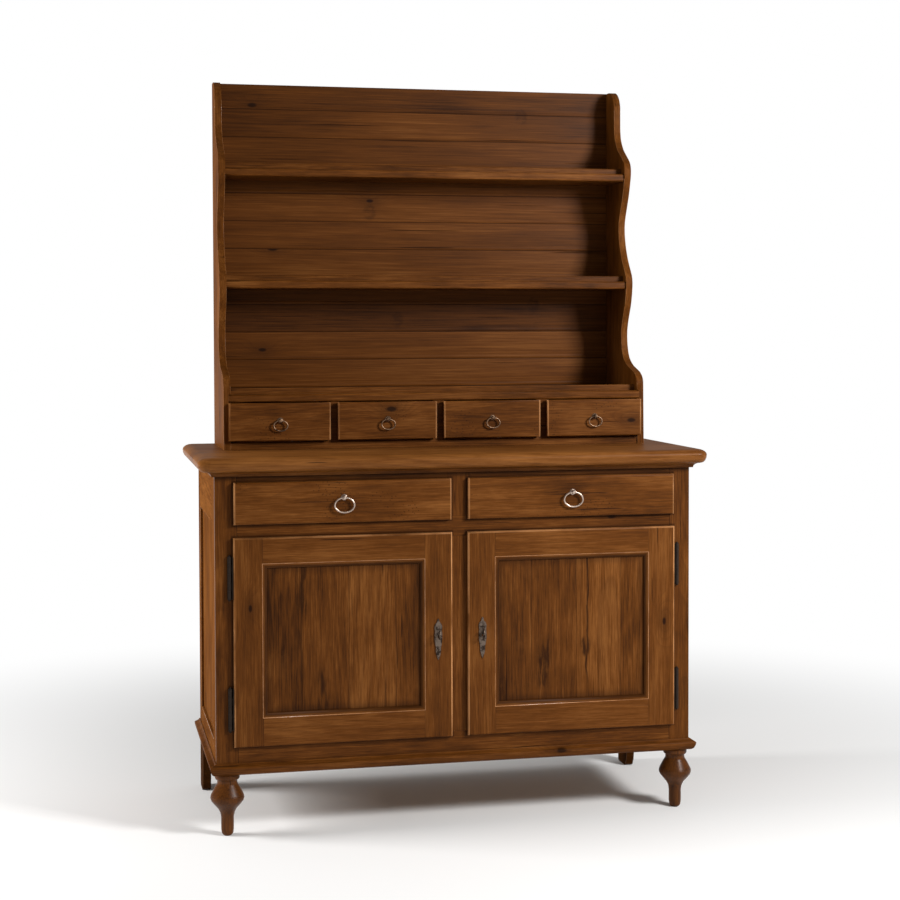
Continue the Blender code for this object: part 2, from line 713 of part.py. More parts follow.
def make_drawer_frame(wood):
    """Frame that the base drawers run on, with a guide beside each drawer."""
    y0 = FACE_BACK_Y + SLIP
    y1 = CASE_BACK_Y0 - SLIP
    z0 = DRAWER_Z0 - RUNNER_THICKNESS
    top = DRAWER_Z1 - BASE_DRAWER_HEADROOM
    outer = CASE_INSIDE_X - SLIP
    centre = OPENING_X0 + RUNNER_BEARING
    inner = OPENING_X1 - RUNNER_BEARING
    holes = [rectangle(*sorted((sign * centre, sign * inner)), y0 + RUNNER_RAIL, y1 - RUNNER_RAIL)
             for _, sign in SIDES]
    frame = board("drawer_frame", rectangle(-outer, outer, y0, y1), holes,
                  lambda u, v: (u, v, z0), lambda u, v: (u, v, DRAWER_Z0), wood)
    foot = DRAWER_Z0 - JOINT_BITE
    guides = [box("guide", -OPENING_X0, OPENING_X0, y0 + SLIP, y1 - SLIP, foot, top)]
    for _, sign in SIDES:
        guides.append(mirrored_box("guide", sign, OPENING_X1, outer - SLIP, y0 + SLIP, y1 - SLIP, foot, top))
    return join(frame, *guides)


# Doors

def grown(bounds, by):
    """A rectangle's limits, moved outwards by a distance."""
    x0, x1, z0, z1 = bounds
    return (x0 - by, x1 + by, z0 - by, z1 + by)


def lipped_loops(bounds, rounding, lip_back, tongue_inset, tongue_back, front):
    """Loops from the front face round its arris, the lip and the tongue, to the back."""
    loops = []
    for inset, y in arc((rounding, front + rounding), (rounding, rounding), 270, 180):
        loops.append(upright_rectangle(*grown(bounds, -inset), y))
    loops.append(upright_rectangle(*bounds, lip_back))
    loops.append(upright_rectangle(*grown(bounds, -tongue_inset), lip_back))
    loops.append(upright_rectangle(*grown(bounds, -tongue_inset), tongue_back))
    return loops


def door_bounds(sign):
    """Outer edges of a door's lip."""
    x0, x1 = sorted((sign * (OPENING_X0 - DOOR_LIP), sign * (OPENING_X1 + DOOR_LIP)))
    return (x0, x1, DOOR_Z0 - DOOR_LIP, DOOR_Z1 + DOOR_LIP)


def door_opening(sign):
    """Outer edges of the moulding round a door's panel."""
    x0, x1, z0, z1 = door_bounds(sign)
    return (x0 + DOOR_STILE, x1 - DOOR_STILE, z0 + DOOR_BOTTOM_RAIL, z1 - DOOR_TOP_RAIL)


def make_door_frame(name, sign, wood):
    """Stiles and rails of a lipped door, moulded towards the panel."""
    front = LIP_FRONT_Y
    back = FRONT_Y + DOOR_TONGUE
    loops = lipped_loops(door_bounds(sign), FRONT_ROUNDING, FRONT_Y - SLIP,
                         DOOR_LIP + SIDE_PLAY, back, front)
    opening = door_opening(sign)
    sight = grown(opening, -PANEL_MOULDING)
    seat = grown(sight, PANEL_TONGUE)
    panel_face = front + PANEL_RECESS
    loops += [upright_rectangle(*seat, back), upright_rectangle(*seat, panel_face)]
    loops.append(upright_rectangle(*sight, panel_face))
    run = PANEL_MOULDING
    rise = PANEL_RECESS - 2 * MOULDING_QUIRK
    for inset, y in arc((0, front + MOULDING_QUIRK + rise), (run, rise), 0, -90):
        loops.append(upright_rectangle(*grown(opening, -inset), y))
    loops.append(upright_rectangle(*opening, front))
    frame = loft("door_frame_" + name, loops, wood, ring=True)
    hole = rod("key_way", (sign * KEY_X, front - OVERRUN, KEY_Z), "Y",
               ((0, KEYHOLE_RADIUS), (back - front + 2 * OVERRUN, KEYHOLE_RADIUS)), BARREL_SIDES)
    return cut(frame, hole)


def make_door_panel(name, sign, wood):
    """Flat panel, held in the rebate behind the moulding."""
    x0, x1, z0, z1 = grown(door_opening(sign), PANEL_TONGUE - PANEL_MOULDING - SLIP)
    y0 = LIP_FRONT_Y + PANEL_RECESS + SLIP
    return box("door_panel_" + name, x0, x1, y0, y0 + PANEL_THICKNESS, z0, z1, wood)


def hinge_heights():
    """Middle heights of the lower and the upper hinge."""
    return (DOOR_Z0 - DOOR_LIP + LOWER_HINGE_FROM_BOTTOM, DOOR_Z1 + DOOR_LIP - UPPER_HINGE_FROM_TOP)


def knuckle_spans(z, first):
    """Heights of every second knuckle of a hinge, counted from the first."""
    pitch = HINGE_LENGTH / HINGE_KNUCKLES
    bottom = z - HINGE_LENGTH / 2
    return [(bottom + i * pitch + SLIP / 2, bottom + (i + 1) * pitch - SLIP / 2)
            for i in range(first, HINGE_KNUCKLES, 2)]


def frame_leaf(sign, z, iron):
    """Fixed half of a hinge: a leaf in the stile, three knuckles, and the pin with its finials."""
    x = sign * HINGE_X
    half = HINGE_LENGTH / 2
    y0 = FRONT_Y + SLIP
    y1 = y0 + HINGE_LEAF_THICKNESS
    inner = HINGE_X - HINGE_TAB - HINGE_LEAF_WIDTH
    leaf = mirrored_box("leaf", sign, inner, HINGE_X - HINGE_TAB, y0, y1, z - half, z + half, iron)
    tools = []
    for z0, z1 in knuckle_spans(z, 0):
        tools.append(mirrored_box("tab", sign, HINGE_X - HINGE_TAB - SLIP, HINGE_X + HINGE_TAB / 2,
                                  y0 - SLIP / 2, y1 - SLIP, z0, z1))
        tools.append(rod("knuckle", (x, HINGE_Y, z0), "Z",
                         ((0, HINGE_BARREL_RADIUS), (z1 - z0, HINGE_BARREL_RADIUS)), BARREL_SIDES))
    tip = HINGE_FINIAL
    far = tip + HINGE_LENGTH
    point = HINGE_PIN_RADIUS / 2
    stations = [(0, point), (tip / 2, HINGE_FINIAL_RADIUS), (tip, HINGE_PIN_RADIUS),
                (far, HINGE_PIN_RADIUS), (far + tip / 2, HINGE_FINIAL_RADIUS), (far + tip, point)]
    tools.append(rod("pin", (x, HINGE_Y, z - half - tip), "Z", stations, BARREL_SIDES))
    return join(leaf, *tools)


def make_frame_leaves(name, sign, iron):
    """The two fixed hinge halves of one door."""
    for level, z in zip(HINGE_NAMES, hinge_heights()):
        leaf = frame_leaf(sign, z, iron)
        leaf.name = "hinge_frame_leaf_" + level + "_" + name
        soften(leaf)


def door_leaf(sign, z, iron):
    """Moving half of a hinge: a leaf on the door's edge and two bored knuckles."""
    x = sign * HINGE_X
    half = HINGE_LENGTH / 2
    edge = OPENING_X1 + DOOR_LIP + SLIP
    y0 = LIP_FRONT_Y + FRONT_ROUNDING / 2
    leaf = mirrored_box("leaf", sign, edge, edge + HINGE_LEAF_THICKNESS, y0,
                        FRONT_Y - HINGE_LEAF_THICKNESS, z - half, z + half, iron)
    bore = HINGE_PIN_RADIUS + HINGE_BORE_GAP
    tools = []
    for z0, z1 in knuckle_spans(z, 1):
        web_y = HINGE_WEB / 2
        tools.append(mirrored_box("web", sign, edge + HINGE_LEAF_THICKNESS / 2, HINGE_X - bore - SLIP,
                                  HINGE_Y - web_y, HINGE_Y + web_y, z0 + SLIP, z1 - SLIP))
        bm = bmesh.new()
        loops = []
        for radius, height in ((HINGE_BARREL_RADIUS, z0), (HINGE_BARREL_RADIUS, z1), (bore, z1), (bore, z0)):
            loop = []
            for i in range(BARREL_SIDES):
                angle = math.tau * (i + 1 / 2) / BARREL_SIDES
                loop.append((x + radius * math.cos(angle), HINGE_Y + radius * math.sin(angle), height))
            loops.append(loop)
        add_loft(bm, loops, ring=True)
        tools.append(place("knuckle", bm))
    return join(leaf, *tools)


def make_door_leaves(name, sign, iron):
    """The two moving hinge halves of one door."""
    leaves = []
    for level, z in zip(HINGE_NAMES, hinge_heights()):
        leaf = door_leaf(sign, z, iron)
        leaf.name = "hinge_door_leaf_" + level + "_" + name
        soften(leaf)
        leaves.append(leaf)
    return leaves


def make_lock_case(name, sign, iron):
    """Rim lock on the back of a door, with a way for its bolt and a pocket for the key's bit."""
    x0 = LOCK_X0
    y1 = LOCK_Y0 + LOCK_CASE_THICKNESS
    z0 = KEY_Z - LOCK_CASE_HEIGHT / 2
    case = mirrored_box("lock_case_" + name, sign, x0, x0 + LOCK_CASE_WIDTH, LOCK_Y0, y1,
                        z0, z0 + LOCK_CASE_HEIGHT, iron)
    play = BOLT_PLAY
    slot = mirrored_box("slot", sign, x0 - OVERRUN, x0 + SLIP + BOLT_LENGTH + play,
                        BOLT_Y0 - play, BOLT_Y0 + BOLT_THICKNESS + play,
                        BOLT_Z - BOLT_HEIGHT / 2 - play, BOLT_Z + BOLT_HEIGHT / 2 + play)
    radius = KEY_BIT_RADIUS + KEY_SHAFT_PLAY
    pocket = rod("pocket", (sign * KEY_X, LOCK_Y0 - OVERRUN, KEY_Z), "Y",
                 ((0, radius), (OVERRUN + KEY_REACH_IN + KEY_SHAFT_PLAY, radius)), BARREL_SIDES)
    return cut(case, slot, pocket)


def make_lock_bolt(name, sign, iron):
    """Sliding bolt, drawn back into the lock."""
    x0 = LOCK_X0 + SLIP
    half = BOLT_HEIGHT / 2
    return mirrored_box("lock_bolt_" + name, sign, x0, x0 + BOLT_LENGTH, BOLT_Y0,
                        BOLT_Y0 + BOLT_THICKNESS, BOLT_Z - half, BOLT_Z + half, iron)


def make_lock_plate(name, sign, metal):
    """Shaped plate round the keyhole on the door's face."""
    z0 = KEY_Z - PLATE_BELOW_KEY
    right = [(PLATE_WIDTH / 2 * out, z0 + PLATE_HEIGHT * up) for out, up in PLATE_SHARES]
    outline = right + [(-u, v) for u, v in reversed(right[1:-1])]
    slot = KEYHOLE_SLOT_WIDTH / 2
    tilt = math.degrees(math.asin(slot / KEYHOLE_RADIUS))
    hole = arc((0, KEY_Z), (KEYHOLE_RADIUS, KEYHOLE_RADIUS), -90 + tilt, 270 - tilt, BARREL_SIDES)
    hole += [(-slot, KEY_Z - KEYHOLE_SLOT_DROP), (slot, KEY_Z - KEYHOLE_SLOT_DROP)]
    shift = sign * KEY_X
    outline = [(u + shift, v) for u, v in outline]
    hole = [(u + shift, v) for u, v in hole]
    y1 = LIP_FRONT_Y - SLIP
    return board("lock_plate_" + name, outline, [hole],
                 on_front(y1 - PLATE_THICKNESS), on_front(y1), metal)


def make_key(name, sign, metal):
    """Key with an oval bow outside the door and a bit inside the lock."""
    x = sign * KEY_X
    tip = LOCK_Y0 + KEY_REACH_IN
    neck = LIP_FRONT_Y - SLIP - PLATE_THICKNESS - KEY_REACH_OUT
    wire = KEY_BOW_WIRE
    shaft = rod("key_" + name, (x, neck - wire, KEY_Z), "Y",
                ((0, KEY_SHAFT_RADIUS), (tip - neck + wire, KEY_SHAFT_RADIUS)), BARREL_SIDES, metal)
    collar = rod("collar", (x, neck, KEY_Z), "Y",
                 ((0, KEY_COLLAR_RADIUS), (KEY_COLLAR_LENGTH, KEY_COLLAR_RADIUS)), BARREL_SIDES)
    bit_end = tip - KEY_SHAFT_RADIUS / 2
    half = KEY_BIT_THICKNESS / 2
    bit = box("bit", x - half, x + half, bit_end - KEY_BIT_LENGTH, bit_end, KEY_Z - KEY_BIT_RADIUS, KEY_Z)
    centre_y = neck - KEY_BOW_LENGTH / 2
    bow = ring("bow", (x, centre_y, KEY_Z), (0, 1, 0), (0, 0, 1),
               KEY_BOW_LENGTH / 2 - wire, KEY_BOW_HEIGHT / 2 - wire, wire)
    key = join(shaft, collar, bit, bow)
    soften(key)
    return key


def ring(name, centre, across, up, half_across, half_up, wire, material=None):
    """An oval of round wire in the plane of two directions."""
    across, up = Vector(across), Vector(up)
    normal = across.cross(up)
    loops = []
    for i in range(RING_STATIONS):
        turn = math.tau * i / RING_STATIONS
        spine = Vector(centre) + across * half_across * math.cos(turn) + up * half_up * math.sin(turn)
        away = across * half_up * math.cos(turn) + up * half_across * math.sin(turn)
        away.normalize()
        loop = []
        for j in range(RING_SIDES):
            angle = math.tau * (j + 1 / 2) / RING_SIDES
            loop.append(spine + away * wire * math.cos(angle) + normal * wire * math.sin(angle))
        loops.append(loop)
    return loft(name, loops, material, ring=True, smooth=material is not None)


def make_door(name, sign, woods, metals):
    """A door with its panel, hinge halves, lock, bolt, lock plate and key."""
    frame_wood, panel_wood = woods
    iron, pewter = metals
    pieces = [make_door_frame(name, sign, frame_wood), make_door_panel(name, sign, panel_wood),
              make_lock_case(name, sign, iron), make_lock_plate(name, sign, pewter)]
    pieces += make_door_leaves(name, sign, iron)
    door = carry("door_" + name + "_axis", (sign * HINGE_X, HINGE_Y, (DOOR_Z0 + DOOR_Z1) / 2), pieces)
    carry("key_" + name + "_axis", (sign * KEY_X, LOCK_Y0, KEY_Z), [make_key(name, sign, pewter)], door)
    carry("lock_bolt_" + name + "_slide", (sign * LOCK_X0, BOLT_Y0, BOLT_Z),
          [make_lock_bolt(name, sign, iron)], door)


# Drawers and their pulls

def make_pull(number, x, front, z, ring_size, wire, metal, drawer):
    """Ring pull: a post with a rose, fixed to the drawer, and a ring that swings in the post."""
    width, height = ring_size
    face = front - SLIP
    post = rod("pull_post_" + number, (x, face, z), "Y",
               ((0, PULL_ROSE_RADIUS), (-PULL_ROSE_THICKNESS, PULL_ROSE_FACE_RADIUS),
                (-PULL_ROSE_THICKNESS, PULL_POST_RADIUS),
                (PULL_TIP_LENGTH - PULL_POST_LENGTH, PULL_POST_RADIUS),
                (-PULL_POST_LENGTH, PULL_TIP_RADIUS)), BARREL_SIDES, metal)
    axis_y = face - PULL_AXIS_OUT
    reach = PULL_POST_RADIUS + OVERRUN
    hole_radius = wire + PULL_HOLE_GAP
    hole = rod("eye", (x - reach, axis_y, z), "X", ((0, hole_radius), (2 * reach, hole_radius)), BARREL_SIDES)
    post = cut(post, hole)
    soften(post)
    hoop = ring("pull_ring_" + number, (x, axis_y, z - height / 2 + wire), (1, 0, 0), (0, 0, 1),
                width / 2 - wire, height / 2 - wire, wire, metal)
    post.parent = drawer
    post.matrix_parent_inverse = Matrix.Translation(drawer.location).inverted()
    carry("pull_ring_" + number + "_axis", (x, axis_y, z), [hoop], drawer)


def open_tray(name, x0, x1, y0, y1, z0, z1, wall, floor, wood):
    """Drawer box: two sides, a back and a bottom, open at the top and behind the front."""
    tray = box(name, x0, x1, y0, y1, z0, z1, wood)
    return cut(tray, box("hollow", x0 + wall, x1 - wall, y0 - OVERRUN, y1 - wall, z0 + floor, z1 + OVERRUN))


def make_base_drawer(name, sign, wood, metal):
    """Lipped drawer front made in one with its box, and its ring pull."""
    x0, x1 = sorted((sign * OPENING_X0, sign * OPENING_X1))
    lip = BASE_DRAWER_LIP
    back = FRONT_Y + DRAWER_TONGUE
    loops = lipped_loops((x0 - lip, x1 + lip, DRAWER_Z0 - lip, DRAWER_Z1 + lip), FRONT_ROUNDING,
                         FRONT_Y - SLIP, lip + SIDE_PLAY, back, LIP_FRONT_Y)
    body = loft("base_drawer_" + name, loops, wood)
    tray = open_tray("tray", x0 + 2 * SIDE_PLAY, x1 - 2 * SIDE_PLAY, back - JOINT_BITE,
                     back + BASE_DRAWER_LENGTH, DRAWER_Z0 + SLIP,
                     DRAWER_Z1 - BASE_DRAWER_HEADROOM, BASE_DRAWER_WALL, BASE_DRAWER_FLOOR, wood)
    join(body, tray)
    middle = ((x0 + x1) / 2, LIP_FRONT_Y, (DRAWER_Z0 + DRAWER_Z1) / 2)
    drawer = carry("base_drawer_" + name + "_slide", middle, [body])
    make_pull("base_" + name, middle[0], LIP_FRONT_Y, middle[2] + BASE_PULL_RISE,
              (BASE_RING_WIDTH, BASE_RING_HEIGHT), BASE_RING_WIRE, metal, drawer)


def small_drawer_middle(number):
    """Middle across of a small drawer, numbered from 1 at the left."""
    return (number - (SMALL_DRAWER_COUNT + 1) / 2) * SMALL_PITCH


def make_small_drawer(number, wood, metal):
    """Small drawer of the rack: a front that laps over the dividers, made in one with its box."""
    name = str(number)
    middle = small_drawer_middle(number)
    x0 = middle - SMALL_OPENING / 2
    x1 = middle + SMALL_OPENING / 2
    lip = SMALL_DRAWER_LIP
    z0 = RACK_BASE_Z1 + SMALL_FRONT_FOOT_GAP
    z1 = LOWER_SHELF_Z0 - SMALL_FRONT_HEAD_GAP
    lip_back = RACK_FRONT_Y - SLIP
    front_y = lip_back - SMALL_LIP_THICKNESS
    back = RACK_FRONT_Y + SMALL_TONGUE
    rounding = SMALL_FRONT_ROUNDING
    loops = []
    for inset, y in arc((rounding, front_y + rounding), (rounding, rounding), 270, 180):
        loops.append(upright_rectangle(x0 - lip + inset, x1 + lip - inset, z0 + inset, z1 - inset, y))
    loops.append(upright_rectangle(x0 - lip, x1 + lip, z0, z1, lip_back))
    for y in (lip_back, back):
        loops.append(upright_rectangle(x0 + SIDE_PLAY, x1 - SIDE_PLAY, z0 + SIDE_PLAY, z1 - SIDE_PLAY, y))
    drawer = loft("small_drawer_" + name, loops, wood)
    tray = open_tray("tray", x0 + 2 * SIDE_PLAY, x1 - 2 * SIDE_PLAY, back - JOINT_BITE,
                     back + SMALL_DRAWER_LENGTH, RACK_BASE_Z1 + SLIP,
                     LOWER_SHELF_Z0 - SMALL_DRAWER_HEADROOM, SMALL_DRAWER_WALL, SMALL_DRAWER_FLOOR, wood)
    join(drawer, tray)
    middle_z = (z0 + z1) / 2
    slide = carry("small_drawer_" + name + "_slide", (middle, front_y, middle_z), [drawer])
    make_pull("small_" + name, middle, front_y, middle_z + SMALL_PULL_RISE,
              (SMALL_RING_WIDTH, SMALL_RING_HEIGHT), SMALL_RING_WIRE, metal, slide)


# Plate rack

def rack_side_outline():
    """Depth and height of a rack side's edge: scalloped at the front, rounded at the top."""
    curve = [(REAR_Y - RACK_DEPTH * out, RACK_Z0 + RACK_HEIGHT * up) for up, out in SIDE_CURVE_SHARES]
    narrow = REAR_Y - RACK_DEPTH * SIDE_CURVE_SHARES[-1][1]
    radius = RACK_TOP_RADIUS
    top = arc((narrow + radius, TOTAL_HEIGHT - radius), (radius, radius), 180, 90, 2 * ROUNDING_STEPS)
    return [(REAR_Y, TOTAL_HEIGHT), (REAR_Y, RACK_Z0), (RACK_FRONT_Y, RACK_Z0)] + smooth_curve(curve, 2) + top


def make_rack_side(name, sign, wood):
    """Scalloped side with a housing for each shelf's end."""
    side = board("rack_side_" + name, rack_side_outline(), [],
                 on_side(sign * RACK_INSIDE_X), on_side(sign * RACK_HALF), wood)
    housings = []
    for top, depth in zip(SHELF_TOPS, SHELF_DEPTHS):
        housings.append(mirrored_box(
            "housing", sign, RACK_INSIDE_X - OVERRUN, RACK_INSIDE_X + SHELF_HOUSING + SLIP,
            REAR_Y - depth - SLIP, REAR_Y - RACK_BACK_THICKNESS,
            top - SHELF_THICKNESS - SLIP, top + SLIP))
    return cut(side, *housings)


def strip(bm, x0, x1, section):
    """A strip along X with a section given in depth and height."""
    add_loft(bm, [[(x, y, z) for y, z in section] for x in (x0, x1)])


def make_shelf(name, top, depth, wood):
    """Shelf with a rounded front edge and a low stop for standing plates, its ends let into the sides."""
    bm = bmesh.new()
    half = RACK_INSIDE_X + SHELF_HOUSING
    front = REAR_Y - depth
    rounding = SHELF_ROUNDING
    under = top - SHELF_THICKNESS
    section = [(REAR_Y - RACK_BACK_THICKNESS - SLIP, top), (REAR_Y - RACK_BACK_THICKNESS - SLIP, under)]
    section += arc((front + rounding, under + rounding), (rounding, rounding), 270, 180)
    section += arc((front + rounding, top - rounding), (rounding, rounding), 180, 90)
    strip(bm, -half, half, section)
    return join(place(name, bm, wood), plate_stop(top, front))


def plate_stop(top, front):
    """Low strip near a shelf's front edge, which keeps standing plates from sliding off."""
    bm = bmesh.new()
    half = RACK_INSIDE_X - SLIP
    rounding = PLATE_STOP_ROUNDING
    y0 = front + PLATE_STOP_SETBACK
    y1 = y0 + PLATE_STOP_THICKNESS
    z0 = top - JOINT_BITE
    z1 = top + PLATE_STOP_HEIGHT
    section = [(y1, z0), (y0, z0)]
    section += arc((y0 + rounding, z1 - rounding), (rounding, rounding), 180, 90)
    section += arc((y1 - rounding, z1 - rounding), (rounding, rounding), 90, 0)
    strip(bm, -half, half, section)
    return place("stop", bm)


def make_rack_back(wood):
    """Back of level matched boards, with a groove at each joint and a bead above it.

    The joints stop where the top board would be too narrow for its bead.
    """
    bm = bmesh.new()
    half = RACK_INSIDE_X - SLIP
    front = REAR_Y - RACK_BACK_THICKNESS
    section = [(REAR_Y, TOTAL_HEIGHT), (REAR_Y, RACK_Z0), (front, RACK_Z0)]
    joint_count = math.floor((RACK_HEIGHT - 2 * BOARD_BEAD) / RACK_BOARD_PITCH)
    for i in range(1, joint_count + 1):
        z = RACK_Z0 + i * RACK_BOARD_PITCH
        groove = BOARD_GROOVE
        bead = z + BOARD_BEAD
        section += [(front, z - groove), (front + groove, z), (front, z + groove)]
        section += [(front, bead - BOARD_QUIRK), (front + BOARD_QUIRK, bead), (front, bead + BOARD_QUIRK)]
    section.append((front, TOTAL_HEIGHT))
    strip(bm, -half, half, section)
    return place("rack_back", bm, wood)


def make_rack_base(wood):
    """Board on the worktop that the small drawers run on, with the uprights between them."""
    bm = bmesh.new()
    half = RACK_INSIDE_X - SLIP
    front = REAR_Y - RACK_DEPTH + RACK_EDGE_SETBACK
    back = REAR_Y - RACK_BACK_THICKNESS - SLIP
    rounding = SHELF_ROUNDING
    section = [(back, RACK_BASE_Z1), (back, RACK_Z0), (front, RACK_Z0)]
    section += arc((front + rounding, RACK_BASE_Z1 - rounding), (rounding, rounding), 180, 90)
    strip(bm, -half, half, section)
    base = place("rack_base", bm, wood)
    uprights = []
    for i in range(1, SMALL_DRAWER_COUNT):
        middle = (i - SMALL_DRAWER_COUNT / 2) * SMALL_PITCH
        uprights.append(box(
            "upright", middle - DIVIDER_THICKNESS / 2, middle + DIVIDER_THICKNESS / 2,
            front + rounding / 2, back - SLIP, RACK_BASE_Z1 - JOINT_BITE, LOWER_SHELF_Z0 - SLIP))
    return join(base, *uprights)


def main():
    """Builds the whole piece of furniture."""
    clear_scene()
    stain = finish("stained_pine", (0.150, 0.056, 0.020), 0.42, 0)
    panel = finish("stained_pine_panel", (0.165, 0.063, 0.022), 0.42, 0)
    dark = finish("dark_stained_pine", (0.085, 0.032, 0.013), 0.50, 0)
    bare = finish("bare_pine", (0.300, 0.165, 0.075), 0.65, 0)
    iron = finish("dark_iron", (0.060, 0.052, 0.046), 0.45, 0.9)
    pewter = finish("worn_pewter", (0.120, 0.100, 0.086), 0.38, 0.9)
    make_face_frame(stain)
    make_centre_stile(stain)
    make_worktop(stain)
    make_bed_moulding(stain)
    make_plinth_moulding(stain)
    make_case_back(dark)
    make_case_floor(bare)
    make_cupboard_shelf(bare)
    make_drawer_frame(bare)
    for name, sign in SIDES:
        make_side_frame(name, sign, stain)
        make_side_panel(name, sign, panel)
        make_foot(name, sign, stain)
        make_frame_leaves(name, sign, iron)
        make_rack_side(name, sign, stain)
        make_door(name, sign, (stain, panel), (iron, pewter))
        make_base_drawer(name, sign, stain, pewter)
    for name, top, depth in zip(SHELF_NAMES, SHELF_TOPS, SHELF_DEPTHS):
        make_shelf(name, top, depth, stain)
    make_rack_back(dark)
    make_rack_base(stain)
    for number in range(1, SMALL_DRAWER_COUNT + 1):
        make_small_drawer(number, stain, pewter)


main()
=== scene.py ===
import json
import math

import bmesh
import bpy
from bpy.props import FloatProperty, FloatVectorProperty, IntProperty, PointerProperty
from mathutils import Matrix, Vector


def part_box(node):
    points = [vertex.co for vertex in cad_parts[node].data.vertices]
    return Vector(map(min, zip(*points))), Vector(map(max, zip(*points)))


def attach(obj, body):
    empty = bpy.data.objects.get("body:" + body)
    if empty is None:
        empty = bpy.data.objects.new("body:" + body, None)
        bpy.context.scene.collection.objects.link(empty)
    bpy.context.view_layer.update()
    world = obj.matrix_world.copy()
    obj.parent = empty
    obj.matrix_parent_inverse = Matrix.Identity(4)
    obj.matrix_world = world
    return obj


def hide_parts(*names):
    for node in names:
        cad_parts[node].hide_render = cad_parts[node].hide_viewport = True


bl_info = {
    "name": "Sideboard with plate rack",
    "version": (1, 0, 0),
    "blender": (4, 5, 0),
    "location": "3D View > Sidebar > Sideboard",
    "description": "Finishes a pine sideboard with a plate rack and sets up its studio",
    "category": "Object",
}

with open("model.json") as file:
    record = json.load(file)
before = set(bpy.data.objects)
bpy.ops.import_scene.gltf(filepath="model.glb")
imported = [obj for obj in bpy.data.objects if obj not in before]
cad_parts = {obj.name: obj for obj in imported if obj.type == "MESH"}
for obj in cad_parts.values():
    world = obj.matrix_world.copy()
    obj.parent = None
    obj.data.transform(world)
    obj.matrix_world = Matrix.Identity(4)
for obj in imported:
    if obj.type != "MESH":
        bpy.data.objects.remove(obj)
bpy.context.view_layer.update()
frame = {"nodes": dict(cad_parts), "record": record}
NODES = frame["nodes"]
BODIES = frame["record"]["behaviour"]["bodies"]
NODE_BODY = {node: body for body, members in BODIES.items() for node in members}

# Sizes inside the nodes, which the frame doesn't give, in metres
RACK_BOARD = 0.0753
DRAWER_LIP = 0.0085
DRAWER_FRONT_DEPTH = 0.026
DOOR_STILE = 0.071
DOOR_TOP_RAIL = 0.065
DOOR_BOTTOM_RAIL = 0.071

# Sizes that are only drawn, in metres
WORN_EDGE = 0.0048
GLUED_JOINT = 0.0009
DOOR_JOINT = 0.0008
RACK_JOINT = 0.0016
PANEL_BOARD = 0.118
PANEL_BOARD_OFFSET = 0.012
PANEL_JOINT_SHARES = (0.004, 0.011)
WORKTOP_BOARDS = 3

# How far painted shade and wear reach from the edges that they lie at, in metres
PAINTED_SHADE_TOP = 0.026
PAINTED_SHADE_TOP_FADE = 0.012
PAINTED_SHADE_BOTTOM = 0.010
PAINTED_SHADE_FOOT = (0.02, 0.03)
PAINTED_SHADE_FRONTS = (0.0015, 0.0075)
PAINTED_SHADE_PANEL = (0.010, 0.034)
PAINTED_SHADE_HOLLOW = (0.001, 0.006)
WORN_TOP_FADE = 0.002

# How strong painted shade and wear are, from 0 to 1
PAINTED_SHADE_STRENGTH = 0.62
FOOT_SHADE_STRENGTH = 0.72
PANEL_SHADE_STRENGTH = 0.42
DOOR_SIDES_WORN = 0.85
DOOR_TOP_WORN = 0.50
DRAWER_SIDES_WORN = 0.60

WHITE = (1.0, 1.0, 1.0)


# Settings

class SideboardWood(bpy.types.PropertyGroup):
    """Colours and grain of the stained pine."""
    light: FloatVectorProperty(
        name="Light stain", description="Soft early wood of the stained boards",
        subtype="COLOR", default=(0.225, 0.083, 0.018))
    middle: FloatVectorProperty(
        name="Middle stain", description="Most of the stained surface",
        subtype="COLOR", default=(0.108, 0.0330, 0.0045))
    dark: FloatVectorProperty(
        name="Dark stain", description="Hard late wood, cracks and corners",
        subtype="COLOR", default=(0.027, 0.0078, 0.0012))
    rubbed: FloatVectorProperty(
        name="Rubbed arris", description="Edges where the stain has worn away", subtype="COLOR",
        default=(0.520, 0.245, 0.095))
    bare: FloatVectorProperty(
        name="Bare pine", description="Unstained pine inside the case and the drawers",
        subtype="COLOR", default=(0.330, 0.175, 0.075))
    ring_scale: FloatProperty(
        name="Growth rings", description="How many growth lines the grain has in a broad figure",
        default=30.0)
    knot_spacing: FloatProperty(
        name="Knot spacing", description="Distance across the grain between places for knots",
        default=0.21, unit="LENGTH")
    knot_radius: FloatProperty(
        name="Knot radius", description="Size of a middling knot", default=0.0058, unit="LENGTH")
    roughness: FloatProperty(
        name="Wax roughness", description="Roughness of the waxed surface", default=0.46)
    gloss: FloatProperty(
        name="Wax gloss", description="Specular level of the waxed surface", default=0.065)


class SideboardMetal(bpy.types.PropertyGroup):
    """Colours of the ironwork and the pulls."""
    iron: FloatVectorProperty(
        name="Iron", description="Dark hinges and locks", subtype="COLOR",
        default=(0.020, 0.013, 0.009))
    pewter: FloatVectorProperty(
        name="Worn metal", description="Pulls, keys and lock plates", subtype="COLOR",
        default=(0.300, 0.225, 0.175))
    bright: FloatVectorProperty(
        name="Rubbed metal", description="Rings that hands keep bright", subtype="COLOR",
        default=(0.560, 0.440, 0.360))
    dull: FloatVectorProperty(
        name="Dull metal", description="Pulls of the small drawers", subtype="COLOR",
        default=(0.290, 0.175, 0.105))
    tarnish: FloatVectorProperty(
        name="Tarnish", description="Dark patina in the hollows", subtype="COLOR",
        default=(0.028, 0.019, 0.014))


class SideboardEdges(bpy.types.PropertyGroup):
    """How far the arrises are worn round."""
    board: FloatProperty(name="Boards", description="Rounding of large boards",
                         default=0.0019, unit="LENGTH")
    door: FloatProperty(name="Doors", description="Rounding of the door frames",
                        default=0.0034, unit="LENGTH")
    fine: FloatProperty(name="Fine pieces", description="Rounding of drawers and mouldings",
                        default=0.0007, unit="LENGTH")
    metal: FloatProperty(name="Metal", description="Rounding of metal pieces",
                         default=0.00025, unit="LENGTH")
    steps: IntProperty(name="Steps", description="Faces across one rounding", default=2)


